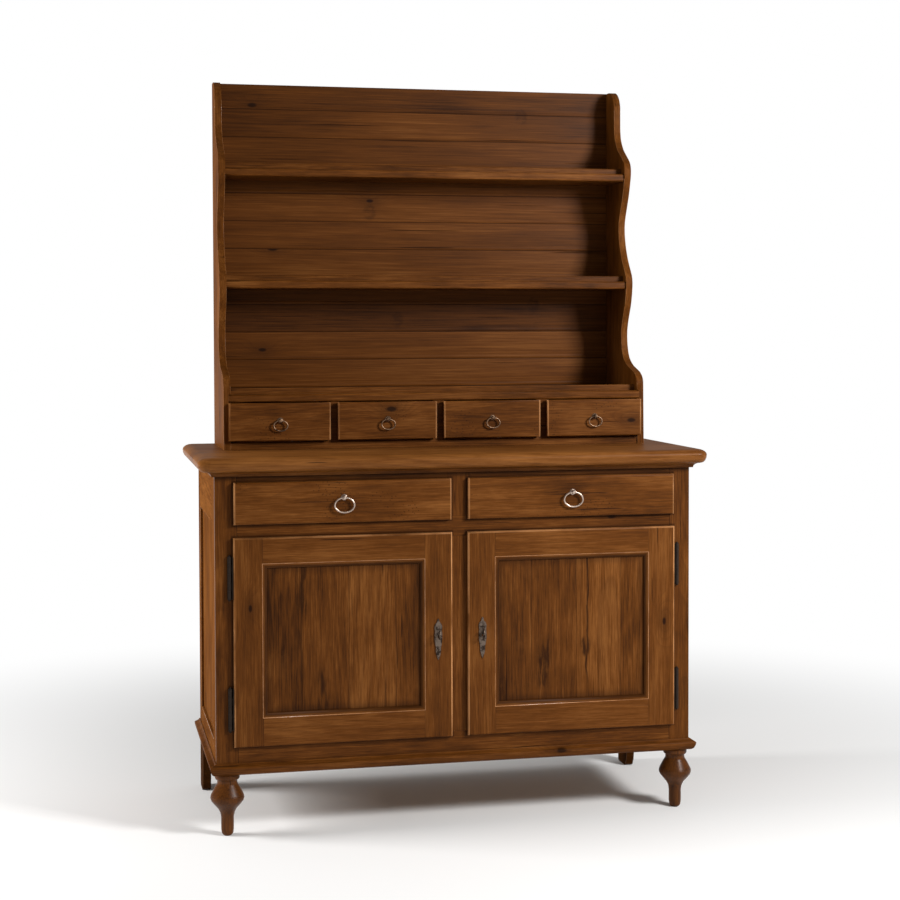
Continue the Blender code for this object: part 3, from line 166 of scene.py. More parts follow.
class SideboardStudio(bpy.types.PropertyGroup):
    """Camera, floor and lamps."""
    camera: FloatVectorProperty(
        name="Camera", description="Place of the camera", subtype="TRANSLATION",
        default=(-0.95570, -4.47673, 1.24153))
    heading: FloatProperty(name="Heading", description="Turn of the camera to the right",
                           default=0.21688, unit="ROTATION")
    pitch: FloatProperty(name="Pitch", description="Tilt of the camera upwards",
                         default=-0.03386, unit="ROTATION")
    roll: FloatProperty(name="Roll", description="Roll of the camera", default=-0.00271,
                        unit="ROTATION")
    lens: FloatProperty(name="Lens", description="Focal length in millimetres", default=69.847)
    rise: FloatProperty(name="Shift", description="Vertical shift, as a share of the width",
                        default=-0.07)
    floor: FloatVectorProperty(name="Floor", description="Colour of the floor", subtype="COLOR",
                               default=(0.86, 0.855, 0.845))
    key: FloatProperty(name="Key", description="Strength of the large lamp", default=106.0,
                       unit="POWER")
    side: FloatProperty(name="Side", description="Strength of the lamp at the left", default=120.0,
                        unit="POWER")
    world: FloatProperty(name="Fill", description="Strength of the even light", default=0.27)


class SideboardSettings(bpy.types.PropertyGroup):
    """All settings."""
    wood: PointerProperty(type=SideboardWood)
    metal: PointerProperty(type=SideboardMetal)
    edges: PointerProperty(type=SideboardEdges)
    studio: PointerProperty(type=SideboardStudio)


def settings():
    """The settings of the open scene."""
    return bpy.context.scene.sideboard


# Shader maths

class Wire:
    """One output socket, on which values can be worked out as Python expressions."""

    def __init__(self, finish, socket):
        self.finish = finish
        self.socket = socket

    def math(self, operation, *values):
        """A Math node whose first value is this one."""
        return self.finish.node("ShaderNodeMath", {"operation": operation},
                                dict(enumerate((self,) + values)))

    def __add__(self, other):
        return self.math("ADD", other)

    def __sub__(self, other):
        return self.math("SUBTRACT", other)

    def __mul__(self, other):
        return self.math("MULTIPLY", other)

    def __truediv__(self, other):
        return self.math("DIVIDE", other)

    def __pow__(self, other):
        return self.math("POWER", other)

    def __radd__(self, other):
        return self.math("ADD", other)

    def __rmul__(self, other):
        return self.math("MULTIPLY", other)

    def __rsub__(self, other):
        return self.finish.node("ShaderNodeMath", {"operation": "SUBTRACT"}, {0: other, 1: self})

    def __abs__(self):
        return self.math("ABSOLUTE")

    def fade(self, start, end):
        """0 before start and 1 after end, and smooth between them."""
        return self.finish.node(
            "ShaderNodeMapRange", {"interpolation_type": "SMOOTHSTEP"},
            {"Value": self, "From Min": start, "From Max": end, "To Min": 0.0, "To Max": 1.0})


class Finish:
    """A material, or a world, under construction."""

    def __init__(self, name, world=False):
        self.owner = (bpy.data.worlds if world else bpy.data.materials).new(name)
        self.owner.use_nodes = True
        self.tree = self.owner.node_tree
        self.shader = self.tree.nodes["Background" if world else "Principled BSDF"]

    def node(self, kind, facts=None, sockets=None, output=0):
        """Adds a node with its settings, then its socket values or links, and wraps one output."""
        made = self.tree.nodes.new(kind)
        for name, value in (facts or {}).items():
            if name == "stops":
                self.set_stops(made.color_ramp, value)
            else:
                setattr(made, name, value)
        for place, value in (sockets or {}).items():
            self.feed(made.inputs[place], value)
        return Wire(self, made.outputs[output])

    def set_stops(self, ramp, stops):
        """Gives a colour ramp its stops."""
        while len(ramp.elements) < len(stops):
            ramp.elements.new(1.0)
        for element, (position, colour) in zip(ramp.elements, stops):
            element.position = position
            element.color = (*colour, 1.0)

    def feed(self, socket, value):
        """Links a wire to a socket, or sets its value."""
        if isinstance(value, Wire):
            self.tree.links.new(value.socket, socket)
        elif socket.type == "RGBA" and len(value) == 3:
            socket.default_value = (*value, 1.0)
        else:
            socket.default_value = value

    def mix(self, factor, first, second):
        """Mixes two colours."""
        return self.node("ShaderNodeMix", {"data_type": "RGBA"}, {0: factor, 6: first, 7: second},
                         output=2)

    def vector(self, x, y, z):
        """A vector of three values."""
        return self.node("ShaderNodeCombineXYZ", None, {0: x, 1: y, 2: z})

    def place(self):
        """Where a point lies on the object, as three values in metres."""
        point = self.node("ShaderNodeTexCoord", output="Object")
        return [self.node("ShaderNodeSeparateXYZ", None, {0: point}, output=i) for i in range(3)]

    def noise(self, vector, scale, detail=2.0, roughness=0.5):
        """Noise between 0 and 1."""
        return self.node("ShaderNodeTexNoise", None, {
            "Vector": vector, "Scale": scale, "Detail": detail, "Roughness": roughness})

    def done(self, colour, roughness, height, depth, gloss, metallic=0.0):
        """Feeds the shader. depth is that of the bump, in metres; gloss is the specular level."""
        bump = self.node("ShaderNodeBump", None,
                         {"Strength": 1.0, "Distance": depth, "Height": height})
        for socket, value in (("Base Color", colour), ("Roughness", roughness), ("Normal", bump),
                              ("Metallic", metallic), ("Specular IOR Level", gloss)):
            self.feed(self.shader.inputs[socket], value)
        return self.owner


# Wood

# Noise in the wood: its share of the scale along the grain, then scale, detail and roughness
WANDER = (0.09, 5.0, 1.6, 0.42)
FIBRE = (0.035, 640, 3.0, 0.65)
STREAK = (0.032, 330, 4.0, 0.66)
BAND = (0.11, 46, 4.0, 0.62)
PATCH = (0.50, 7.0, 5.0, 0.62)
CRACK = (0.030, 150, 1.0, 0.4)

# Where a noise begins and ends to count as a crack, as worn thin, as rubbed or as a rubbed arris
CRACKED = (0.735, 0.765)
WORN, WORN_WHERE = (11.0, 5.0, 0.68), (0.54, 0.72)
RUBBED, RUBBED_WHERE = (5.0, 4.0, 0.6), (0.36, 0.62)
ARRIS, ARRIS_WHERE = (26.0, 4.0, 0.6), (0.34, 0.58)

# How dark each feature is, how far it stands up or is sunk in the bump, and how rough it is
DARKNESS = {"late": 0.30, "bend": 0.42, "knot": 0.90, "crack": 0.70, "joint": 0.85}
RAISED = {"fibre": 0.30, "streak": 0.30}
SUNK = {"late": 0.25, "crack": 1.2, "knot": 0.25, "mark": 0.6, "joint": 1.4}
ROUGHER = {"fibre": 0.20, "patch": 0.22, "crack": 0.2}

# Weights of patches, bands, streaks and fibres in the stain, and of a board's own tone
STAIN_WEIGHTS = (1.30, 0.90, 1.12, 0.80)
BOARD_TONE = 0.30
MIDDLE_AT = 0.48

KNOT_STRETCH = 2.1
KNOT_SCATTER = 0.95
KNOT_PRESENT = (0.50, 0.53)
KNOT_LEAST = 0.25
KNOT_CORE = (0.55, 1.25)
KNOT_REACH = 7
RING_BEND = 0.10
BAND_BEND = 0.006
RINGS_PER_METRE = 75
LATE_POWER = 2.6
LATE_ENDS = (0.93, 1.0)
BOARD_SHIFT = 3.0
DEEP_SHARE = 0.42
JOINT_SHARE = 0.25
GRAIN_DEPTH = 0.00030
RUBBED_LEAST = 0.15
RUBBED_DEPTH = 0.0002
RUBBED_GLOSS = 0.50
ARRIS_ROUGHNESS = 0.34
BARE_SHARES = (1.0, 0.72, 0.30)


def grain_axes(point, along, into, turned=None):
    """Distances across, along and into the wood. Where turned is 1, the first two change places."""
    across = next(axis for axis in "xyz" if axis not in along + into)
    side, length, depth = point[across], point[along], point[into]
    if turned is None:
        return side, length, depth
    return side + (length - side) * turned, length + (side - length) * turned, depth


def knots(finish, across, along, spacing, radius):
    """Knots right through a board: how dark each point is, and how far the grain bends there."""
    place = finish.vector(across / spacing, along / (spacing * KNOT_STRETCH), 0.0)
    cell = {"Vector": place, "Scale": 1.0, "Randomness": KNOT_SCATTER}
    distance = finish.node("ShaderNodeTexVoronoi", {"voronoi_dimensions": "2D"}, cell, output=0)
    colour = finish.node("ShaderNodeTexVoronoi", {"voronoi_dimensions": "2D"}, cell, output=1)
    kind = finish.node("ShaderNodeSeparateColor", None, {0: colour}, output=0)
    size = radius / spacing
    present = kind.fade(*KNOT_PRESENT)
    inner, outer = (size * share for share in KNOT_CORE)
    core = (1 - (distance / (kind + KNOT_LEAST)).fade(inner, outer)) * present
    bend = (1 - distance.fade(0.0, size * KNOT_REACH)) * present
    return core, bend


def pine(name, along, into="y", turned=None, tone=0.0, tint=None, joints=None, boards=None,
         marks=None, wax=0.0, worn=0.0, contrast=0.85, stretch=1.0, gloss=None, patina=None,
         rubbed=None):
    """Stained pine with growth lines, fibres, knots, cracks and uneven stain.

    along and into name the axes of the grain and of the face. turned, joints, boards, marks, patina
    and rubbed are functions of x, y and z that give a mask or, for boards, a number for each board.
    tint gives light, middle and dark colours, and the other arguments are plain numbers. The patina
    mask paints shade into the colour.
    """
    wood = settings().wood
    finish = Finish(name)
    x, y, z = finish.place()
    mask = turned(x, y, z) if turned else None
    across, length, depth = grain_axes({"x": x, "y": y, "z": z}, along, into, mask)
    if boards:
        board = finish.node("ShaderNodeTexWhiteNoise", {"noise_dimensions": "1D"},
                            {"W": boards(x, y, z)})
        length = length + board * BOARD_SHIFT

    run = length * stretch

    def grain(kind, across=across):
        share, scale, detail, rough = kind
        return finish.noise(finish.vector(across, depth, run * share), scale, detail, rough)

    core, bend = knots(finish, across, length, wood.knot_spacing, wood.knot_radius)
    rings = (grain(WANDER) + bend * RING_BEND) * wood.ring_scale + across * RINGS_PER_METRE
    saw = rings.math("FRACT")
    late = saw ** LATE_POWER * (1 - saw.fade(*LATE_ENDS))
    fibre, streak, patch = grain(FIBRE), grain(STREAK), grain(PATCH)
    band = grain(BAND, across + bend * BAND_BEND)
    crack = grain(CRACK).fade(*CRACKED)
    light, middle, dark = tint or (wood.light[:], wood.middle[:], wood.dark[:])
    deep = [value * DEEP_SHARE for value in dark]
    stain = sum((value - 0.5) * (weight * contrast) for value, weight in
                zip((patch, band, streak, fibre), STAIN_WEIGHTS)) + (0.50 - tone)
    if boards:
        stain = stain + (board - 0.5) * BOARD_TONE
    stops = ((0.0, dark), (MIDDLE_AT, middle), (1.0, light))
    colour = finish.node("ShaderNodeValToRGB", {"stops": stops}, {0: stain})
    colour = finish.mix(late * (DARKNESS["late"] * contrast), colour, dark)
    colour = finish.mix(bend * bend * DARKNESS["bend"], colour, dark)
    colour = finish.mix(core * DARKNESS["knot"], colour, deep)
    colour = finish.mix(crack * DARKNESS["crack"], colour, deep)
    height = (fibre * RAISED["fibre"] + streak * RAISED["streak"] - late * SUNK["late"]
              - crack * SUNK["crack"] - core * SUNK["knot"])
    roughness = ((fibre - 0.5) * ROUGHER["fibre"] + (patch - 0.5) * ROUGHER["patch"]
                 + crack * ROUGHER["crack"] + (wood.roughness - wax))
    if marks:
        mark = marks(x, y, z, finish)
        colour = finish.mix(mark, colour, deep)
        height = height - mark * SUNK["mark"]
    if joints:
        seam = joints(x, y, z)
        colour = finish.mix(seam * DARKNESS["joint"], colour,
                            [value * JOINT_SHARE for value in dark])
        height = height - seam * SUNK["joint"]
    # Painted shade: where the patina mask is 1, the colour goes to the deep stain.
    if patina:
        colour = finish.mix(patina(x, y, z), colour, deep)
    if worn:
        rub = finish.noise(finish.vector(x, y, z), *WORN).fade(*WORN_WHERE)
        colour = finish.mix(rub * worn, colour, light)
    if rubbed:
        wear = finish.noise(finish.vector(x, y, z), *RUBBED).fade(*RUBBED_WHERE)
        share = wear * (1 - RUBBED_LEAST) + RUBBED_LEAST
        colour = finish.mix(rubbed(x, y, z) * share, colour, wood.rubbed[:])
    return finish.done(colour, roughness, height, GRAIN_DEPTH,
                       wood.gloss if gloss is None else gloss)


def bare_pine(name, along):
    """Unstained pine of the pieces inside."""
    tint = [[value * share for value in settings().wood.bare] for share in BARE_SHARES]
    return pine(name, along, "z", tint=tint, wax=-0.25)


def worn_arris(share=0.35, patina=None):
    """Edges where hands and cloths have rubbed the stain thin and the wood smooth. A patina mask,
    if given, paints shade on them.
    """
    wood = settings().wood
    finish = Finish("rubbed arris pine")
    x, y, z = finish.place()
    rub = finish.noise(finish.vector(x, y, z), *ARRIS)
    colour = finish.mix(rub.fade(*ARRIS_WHERE) * share, wood.light[:], wood.rubbed[:])
    roughness = ARRIS_ROUGHNESS - rub * 0.12
    # Painted shade: where the patina mask is 1, the rounded edge goes dark and dull.
    if patina:
        painted_shade = patina(x, y, z)
        colour = finish.mix(painted_shade, colour, wood.dark[:])
        roughness = roughness + painted_shade * 0.60
    return finish.done(colour, roughness, rub, RUBBED_DEPTH, RUBBED_GLOSS)


# Masks

def spot(across, length, at, half_across, half_length):
    """1 inside an oval on the face and 0 outside it, with a soft edge."""
    side = (across - at[0]) / half_across
    run = (length - at[1]) / half_length
    return 1 - (side * side + run * run).fade(0.25, 1.0)


def past(value, middle, half):
    """How far a value lies outside a span, and less than 0 inside it."""
    return abs(value - middle) - half


def worn_sides(x, middle, half):
    """1 on the rounded edges at the left and right of a front, and 0 further in."""
    return past(x, middle, half - WORN_EDGE).fade(0.0, WORN_EDGE * 0.4)


def near_front(y, front):
    """1 on the front face and its rounding, and 0 behind them."""
    return 1 - (y - front).fade(WORN_EDGE, WORN_EDGE * 1.6)


def line(value, at, width):
    """1 on a thin line where the value is the one given, and 0 away from it."""
    return 1 - abs(value - at).fade(width * 0.4, width)


def board_number(value, start, width):
    """Which board of a row a point lies in."""
    return ((value - start) / width).math("FLOOR")


def board_joints(value, start, width, clear, full):
    """1 where the boards of a row meet. Clear and full are shares of a board."""
    share = ((value - start) / width).math("FRACT")
    return 1 - share.math("MINIMUM", 1 - share).fade(clear, full)


def past_oblong(x, z, middle, half, centre, rise):
    """How far a point on a front lies outside an oblong, and less than 0 inside it."""
    return past(x, middle, half).math("MAXIMUM", past(z, centre, rise))


# Shapes

FLAT = math.radians(0.6)
SMOOTH_BELOW = math.radians(50)
SAME_PLACE = 1e-6
ON_PLANE = 1e-7
NO_LENGTH = 2e-6
LONG_EDGE = 6


def flat_regions(bm):
    """Groups of faces that lie in one plane and touch."""
    left = dict.fromkeys(bm.faces)
    for start in list(left):
        if start not in left:
            continue
        region, waiting = {}, [start]
        while waiting:
            face = waiting.pop()
            left.pop(face, None)
            region[face] = None
            for edge in face.edges:
                if len(edge.link_faces) == 2 and edge.calc_face_angle(0.0) < FLAT:
                    waiting.extend(other for other in edge.link_faces
                                   if left.pop(other, 0) is None)
        yield region


def border_loops(region):
    """The closed borders of a flat region, as sets of vertices."""
    border = [edge for face in region for edge in face.edges
              if sum(other in region for other in edge.link_faces) == 1]
    links = {}
    for edge in border:
        for vert in edge.verts:
            links.setdefault(vert, set()).add(edge.other_vert(vert))
    while links:
        loop, waiting = set(), [next(iter(links))]
        while waiting:
            vert = waiting.pop()
            if vert not in loop:
                loop.add(vert)
                waiting.extend(links.pop(vert, ()))
        yield loop


def extent(loop, axis):
    """Lowest and highest value of a loop along an axis."""
    values = [vert.co[axis] for vert in loop]
    return min(values), max(values)


def hole_cuts(bm):
    """Planes across the holes of flat faces, so that no face has to run round a hole."""
    cuts = []
    for region in flat_regions(bm):
        loops = list(border_loops(region))
        if len(loops) < 2:
            continue
        normal = next(iter(region)).normal
        axes = sorted(range(3), key=lambda axis: abs(normal[axis]))[:2]
        spans = [{axis: extent(loop, axis) for axis in axes} for loop in loops]
        sizes = [sum(high - low for low, high in span.values()) for span in spans]
        outer = spans[sizes.index(max(sizes))]
        long_axis = max(axes, key=lambda axis: outer[axis][1] - outer[axis][0])
        for span in spans:
            if span is not outer:
                cuts.append((long_axis, sum(span[long_axis]) / 2))
    return sorted({(axis, round(value, 5)) for axis, value in cuts})


def solid_copy(node):
    """The closed shape of a CAD node, with coplanar triangles joined into faces."""
    bm = bmesh.new()
    bm.from_mesh(NODES[node].data)
    bmesh.ops.remove_doubles(bm, verts=bm.verts, dist=SAME_PLACE)
    for axis, value in hole_cuts(bm):
        normal = Vector([float(axis == i) for i in range(3)])
        made = bmesh.ops.bisect_plane(bm, geom=bm.verts[:] + bm.edges[:] + bm.faces[:],
                                      dist=ON_PLANE, plane_co=normal * value, plane_no=normal)
        for part in made["geom_cut"]:
            if isinstance(part, bmesh.types.BMEdge):
                part.seam = True
    bmesh.ops.dissolve_limit(bm, angle_limit=FLAT, verts=bm.verts, edges=bm.edges,
                             use_dissolve_boundaries=False, delimit={"SEAM"})
    bmesh.ops.recalc_face_normals(bm, faces=bm.faces)
    return bm


def sharp_edges(bm, angle):
    """Outward edges between faces that meet at more than the angle."""
    return [edge for edge in bm.edges if len(edge.link_faces) == 2 and edge.is_convex
            and edge.calc_face_angle(0.0) > math.radians(angle)]


def round_arrises(bm, width, angle, slot=-1):
    """Wears the long sharp edges round, and gives the rounding a material slot of its own."""
    edges = [edge for edge in sharp_edges(bm, angle) if edge.calc_length() > width * LONG_EDGE]
    if edges:
        bmesh.ops.bevel(bm, geom=edges, offset=width, offset_type="OFFSET", material=slot,
                        segments=settings().edges.steps, profile=0.5, affect="EDGES",
                        clamp_overlap=True)
        bmesh.ops.dissolve_degenerate(bm, dist=NO_LENGTH, edges=bm.edges)


def put(name, bm, material, node):
    """Makes the finished piece, which stands for its CAD node and moves with its body."""
    bmesh.ops.recalc_face_normals(bm, faces=bm.faces)
    mesh = bpy.data.meshes.new(name)
    bm.to_mesh(mesh)
    bm.free()
    mesh.materials.append(material)
    mesh.shade_smooth()
    mesh.set_sharp_from_angle(angle=SMOOTH_BELOW)
    piece = bpy.data.objects.new(name, mesh)
    bpy.context.scene.collection.objects.link(piece)
    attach(piece, NODE_BODY[node])
    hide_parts(node)
    return piece


def dress(node, material, width, angle=28, arris=None):
    """A finely finished copy of one CAD node."""
    bm = solid_copy(node)
    round_arrises(bm, width, angle, 1 if arris else -1)
    piece = put(node + "_finished", bm, material, node)
    if arris:
        piece.data.materials.append(arris)
    weighted = piece.modifiers.new("even shading", "WEIGHTED_NORMAL")
    weighted.keep_sharp = True
    return piece


def round_form(node, material, levels):
    """A smoother copy of a round CAD node."""
    bm = bmesh.new()
    bm.from_mesh(NODES[node].data)
    bmesh.ops.remove_doubles(bm, verts=bm.verts, dist=SAME_PLACE)
    bmesh.ops.join_triangles(bm, faces=bm.faces, angle_face_threshold=math.radians(12),
                             angle_shape_threshold=math.radians(60), cmp_seam=False,
                             cmp_sharp=False, cmp_uvs=False, cmp_vcols=False, cmp_materials=False)
    piece = put(node + "_finished", bm, material, node)
    smooth = piece.modifiers.new("smooth", "SUBSURF")
    smooth.levels = levels
    smooth.render_levels = levels


# Metal

# Scale, detail and roughness of the clouds of patina and of the pits
CLOUDS = (95, 4.0, 0.6)
PITS = (900, 2.0, 0.6)

PATINA_GONE = (0.42, 0.66)
METAL_GLOSS = 0.12
PIT_DEPTH = 0.00012


def metal(name, colour, roughness, rub, shine=0.92, clean=0.0):
    """Aged metal: patina, rubbed places, fine pitting. clean says how much patina is gone."""
    finish = Finish(name)
    x, y, z = finish.place()
    point = finish.vector(x, y, z)
    cloud = finish.noise(point, *CLOUDS)
    pits = finish.noise(point, *PITS)
    bright = (cloud + (pits - 0.5) * 0.35 + clean).fade(*PATINA_GONE)
    tone = finish.mix(bright * rub, settings().metal.tarnish[:], colour)
    return finish.done(tone, roughness + (1 - bright) * 0.20 + (pits - 0.5) * 0.12,
                       pits * 0.6 + cloud * 0.4, PIT_DEPTH, METAL_GLOSS, metallic=shine)


# Pieces

class PieceOperator:
    """What the operators that make pieces share."""
    bl_options = {"REGISTER", "UNDO"}

    def execute(self, context):
        """Makes the pieces. A failure stops the script."""
        self.make()
        return {"FINISHED"}


def low(node, axis):
    """Lowest value of a CAD node along an axis."""
    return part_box(node)[0][axis]


def high(node, axis):
    """Highest value of a CAD node along an axis."""
    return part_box(node)[1][axis]


def front_oblong(node, side=0.0, bottom=0.0, top=0.0):
    """Middle and half width, middle and half height of a node's front, less its frame."""
    near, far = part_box(node)
    x0, x1, z0, z1 = near.x + side, far.x - side, near.z + bottom, far.z - top
    return (x0 + x1) / 2, (x1 - x0) / 2, (z0 + z1) / 2, (z1 - z0) / 2


class SIDEBOARD_OT_face_frame(PieceOperator, bpy.types.Operator):
    """Makes the front frame, with level grain in its rails and upright grain in its stiles"""
    bl_idname = "sideboard.face_frame"
    bl_label = "Face frame"

    def make(self):
        """Rails run between the outer stiles, and a short stile stands between the drawers."""
        outer = high("base_drawer_right", 0) - DRAWER_LIP
        inner = high("centre_stile", 0)
        drawers_from = low("base_drawer_right", 2) + DRAWER_LIP
        arris = worn_arris()

        def rails(x, y, z):
            short_stile = abs(x).math("LESS_THAN", inner) * z.math("GREATER_THAN", drawers_from)
            return abs(x).math("LESS_THAN", outer) * (1 - short_stile)

        def seams(x, y, z):
            return line(abs(x), outer, GLUED_JOINT)

        bottom, top = low("face_frame", 2), high("face_frame", 2)
        fronts = [front_oblong(node) for node in ("base_drawer_right", "door_frame_right")]

        # Painted shade: the frame darkens under the worktop's moulding, above the plinth and in a
        # thin band round the drawer and door fronts, where their lips shade it.
        def painted_shade_mask(x, y, z):
            under_top = (z - (top - PAINTED_SHADE_TOP)).fade(0.0, PAINTED_SHADE_TOP_FADE)
            dark = (1 - (z - bottom).fade(0.0, PAINTED_SHADE_BOTTOM)).math("MAXIMUM", under_top)
            for oblong in fronts:
                clear = past_oblong(abs(x), z, *oblong).fade(*PAINTED_SHADE_FRONTS)
                dark = dark.math("MAXIMUM", 1 - clear)
            return dark * PAINTED_SHADE_STRENGTH

        wood = pine("front frame pine", "z", turned=rails, tone=0.08, joints=seams, patina=painted_shade_mask)
        dress("face_frame", wood, settings().edges.board, arris=arris)
        dress("centre_stile", pine("centre stile pine", "z", tone=0.04), settings().edges.fine)


class SIDEBOARD_OT_worktop(PieceOperator, bpy.types.Operator):
    """Makes the worktop of long level boards"""
    bl_idname = "sideboard.worktop"
    bl_label = "Worktop"

    def make(self):
        """Two joints run along the top."""
        front = low("worktop", 1)
        board = (high("worktop", 1) - front) / WORKTOP_BOARDS

        def boards(x, y, z):
            return board_number(y, front, board)

        def seams(x, y, z):
            first, second = (line(y, front + board * i, GLUED_JOINT) for i in (1, 2))
            return first.math("MAXIMUM", second)

        wood = pine("worktop pine", "x", "z", tone=-0.26, joints=seams, boards=boards, wax=0.06,
                    worn=0.20, gloss=0.09)
        dress("worktop", wood, 0.0, 60)


class SIDEBOARD_OT_mouldings(PieceOperator, bpy.types.Operator):
    """Makes the cove under the worktop and the plinth moulding"""
    bl_idname = "sideboard.mouldings"
    bl_label = "Mouldings"

    def make(self):
        """Grain from left to right, and a little wear."""
        wood = pine("moulding pine", "x", tone=0.02, worn=0.10)
        for node in ("bed_moulding", "plinth_moulding"):
            dress(node, wood, settings().edges.fine, 50)


class SIDEBOARD_OT_sides(PieceOperator, bpy.types.Operator):
    """Makes the side frames and their flat panels"""
    bl_idname = "sideboard.sides"
    bl_label = "Sides"

    def make(self):
        """Rails have grain from front to back, stiles upright."""
        panel_low, panel_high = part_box("side_panel_left")

        def rails(x, y, z):
            return y.math("GREATER_THAN", panel_low.y) * y.math("LESS_THAN", panel_high.y)

        foot_top = low("face_frame", 2)

        # Painted shade: the side frames and their rounded edges darken towards the bottom, round
        # the rear feet.
        def painted_shade_mask(x, y, z):
            return (1 - z.fade(foot_top - PAINTED_SHADE_FOOT[0], foot_top + PAINTED_SHADE_FOOT[1])) * FOOT_SHADE_STRENGTH

        frame_wood = pine("side frame pine", "z", "x", turned=rails, tone=-0.12, wax=-0.36,
                          gloss=0.02, patina=painted_shade_mask)
        panel_wood = pine("side panel pine", "z", "x", tone=-0.14, wax=-0.36, gloss=0.02)
        arris = worn_arris(patina=painted_shade_mask)
        for name in ("left", "right"):
            dress("side_frame_" + name, frame_wood, settings().edges.board, arris=arris)
            dress("side_panel_" + name, panel_wood, settings().edges.board)


class SIDEBOARD_OT_feet(PieceOperator, bpy.types.Operator):
    """Makes the turned front feet"""
    bl_idname = "sideboard.feet"
    bl_label = "Front feet"

    def make(self):
        """Darker and waxed a little more than the boards."""
        wood = pine("turned pine", "z", tone=0.22, wax=0.12, gloss=0.14)
        for name in ("left", "right"):
            dress("front_foot_" + name, wood, settings().edges.fine, 30)


class SIDEBOARD_OT_inside(PieceOperator, bpy.types.Operator):
    """Makes the back, floor, shelf and drawer frame of the case"""
    bl_idname = "sideboard.inside"
    bl_label = "Inside of the case"

    def make(self):
        """The inside is left unstained, apart from the back."""
        plain = bare_pine("bare pine", "x")
        for node in ("case_floor", "cupboard_shelf", "drawer_frame"):
            dress(node, plain, settings().edges.fine)
        dress("case_back", pine("case back pine", "z", tone=0.20, wax=-0.2), settings().edges.fine)


class SIDEBOARD_OT_doors(PieceOperator, bpy.types.Operator):
    """Makes the door frames and their panels"""
    bl_idname = "sideboard.doors"
    bl_label = "Doors"

    def make(self):
        """Rails sit between the stiles, with a fine line at each joint."""
        arris = worn_arris(0.55)
        for name in ("left", "right"):
            make_door_frame(name, arris)
            make_door_panel(name)


def door_oblong(name):
    """Middle and half width, middle and half height of a door's panel opening."""
    return front_oblong("door_frame_" + name, DOOR_STILE, DOOR_BOTTOM_RAIL, DOOR_TOP_RAIL)


def make_door_frame(name, arris):
    """A door frame with mitred grain in its moulding, and painted shade in the hollow round the
    panel.
    """
    node = "door_frame_" + name
    middle, half, centre, rise = door_oblong(name)
    front, top = low(node, 1), high(node, 2)

    def rails(x, y, z):
        beside = past(x, middle, half)
        above = (past(z, centre, rise) - beside).math("GREATER_THAN", 0.0)
        return beside.math("LESS_THAN", 0.0) * above

    def seams(x, y, z):
        return line(abs(x - middle), half, DOOR_JOINT) * 0.45

    # Painted shade: darker on the moulding close to the panel, in the hollow round it.
    def hollow(x, y, z):
        return (0.0 - past_oblong(x, z, middle, half, centre, rise)).fade(*PAINTED_SHADE_HOLLOW) * PAINTED_SHADE_STRENGTH

    def rubbed(x, y, z):
        beside = worn_sides(x, middle, half + DOOR_STILE) * DOOR_SIDES_WORN
        above = (z - (top - WORN_EDGE)).fade(0.0, WORN_TOP_FADE) * DOOR_TOP_WORN
        return beside.math("MAXIMUM", above) * near_front(y, front)

    wood = pine("door frame pine " + name, "z", turned=rails, joints=seams, worn=0.06,
                contrast=0.72, patina=hollow, rubbed=rubbed)
    dress(node, wood, settings().edges.door, 40, arris)


def make_door_panel(name):
    """A flat panel of upright boards, with painted shade towards its frame."""
    oblong = door_oblong(name)
    start = oblong[0] + PANEL_BOARD_OFFSET

    def boards(x, y, z):
        return board_number(x, start, PANEL_BOARD)

    def seams(x, y, z):
        return board_joints(x, start, PANEL_BOARD, *PANEL_JOINT_SHARES) * 0.55

    # Painted shade: the panel darkens towards the frame round it.
    def shade(x, y, z):
        return (1 - (0.0 - past_oblong(x, z, *oblong)).fade(*PAINTED_SHADE_PANEL)) * PANEL_SHADE_STRENGTH

    wood = pine("door panel pine " + name, "z", tone=-0.02, joints=seams, boards=boards,
                marks=PANEL_MARKS[name], worn=0.10, contrast=0.95, patina=shade)
    dress("door_panel_" + name, wood, settings().edges.fine)


# Places of marks that the photograph shows: x and z, then half width and half height
LEFT_CLOUDS = (((-0.345, 0.345), 0.024, 0.075), ((-0.395, 0.610), 0.020, 0.110))
RIGHT_KNOT = ((0.327, 0.432), 0.018, 0.030)
RIGHT_FLAME = ((0.180, 0.395), 0.020, 0.085)
FLAME_SLANT = 0.10
SPLIT_X = 0.333
SPLIT_WIDTH = 0.0034
SPLIT_WANDER = 0.030
SPLIT_BOTTOM = (0.30, 0.40)
SPLIT_TOP = (0.66, 0.74)
BACK_KNOTS = tuple((place, 0.022, 0.026) for place in (
    (-0.135, 1.560), (0.330, 1.305), (0.295, 1.830), (-0.060, 1.265)))


def any_spot(x, z, spots):
    """1 inside any of some ovals."""
    marks = [spot(x, z, *each) for each in spots]
    joined = marks[0]
    for mark in marks[1:]:
        joined = joined.math("MAXIMUM", mark)
    return joined


def left_panel_marks(x, y, z, finish):
    """Two darker clouds, one above the other."""
    rough = finish.noise(finish.vector(x, y, z * 0.12), 110, 3.0, 0.6)
    return any_spot(x, z, LEFT_CLOUDS) * rough.fade(0.40, 0.62) * 0.70


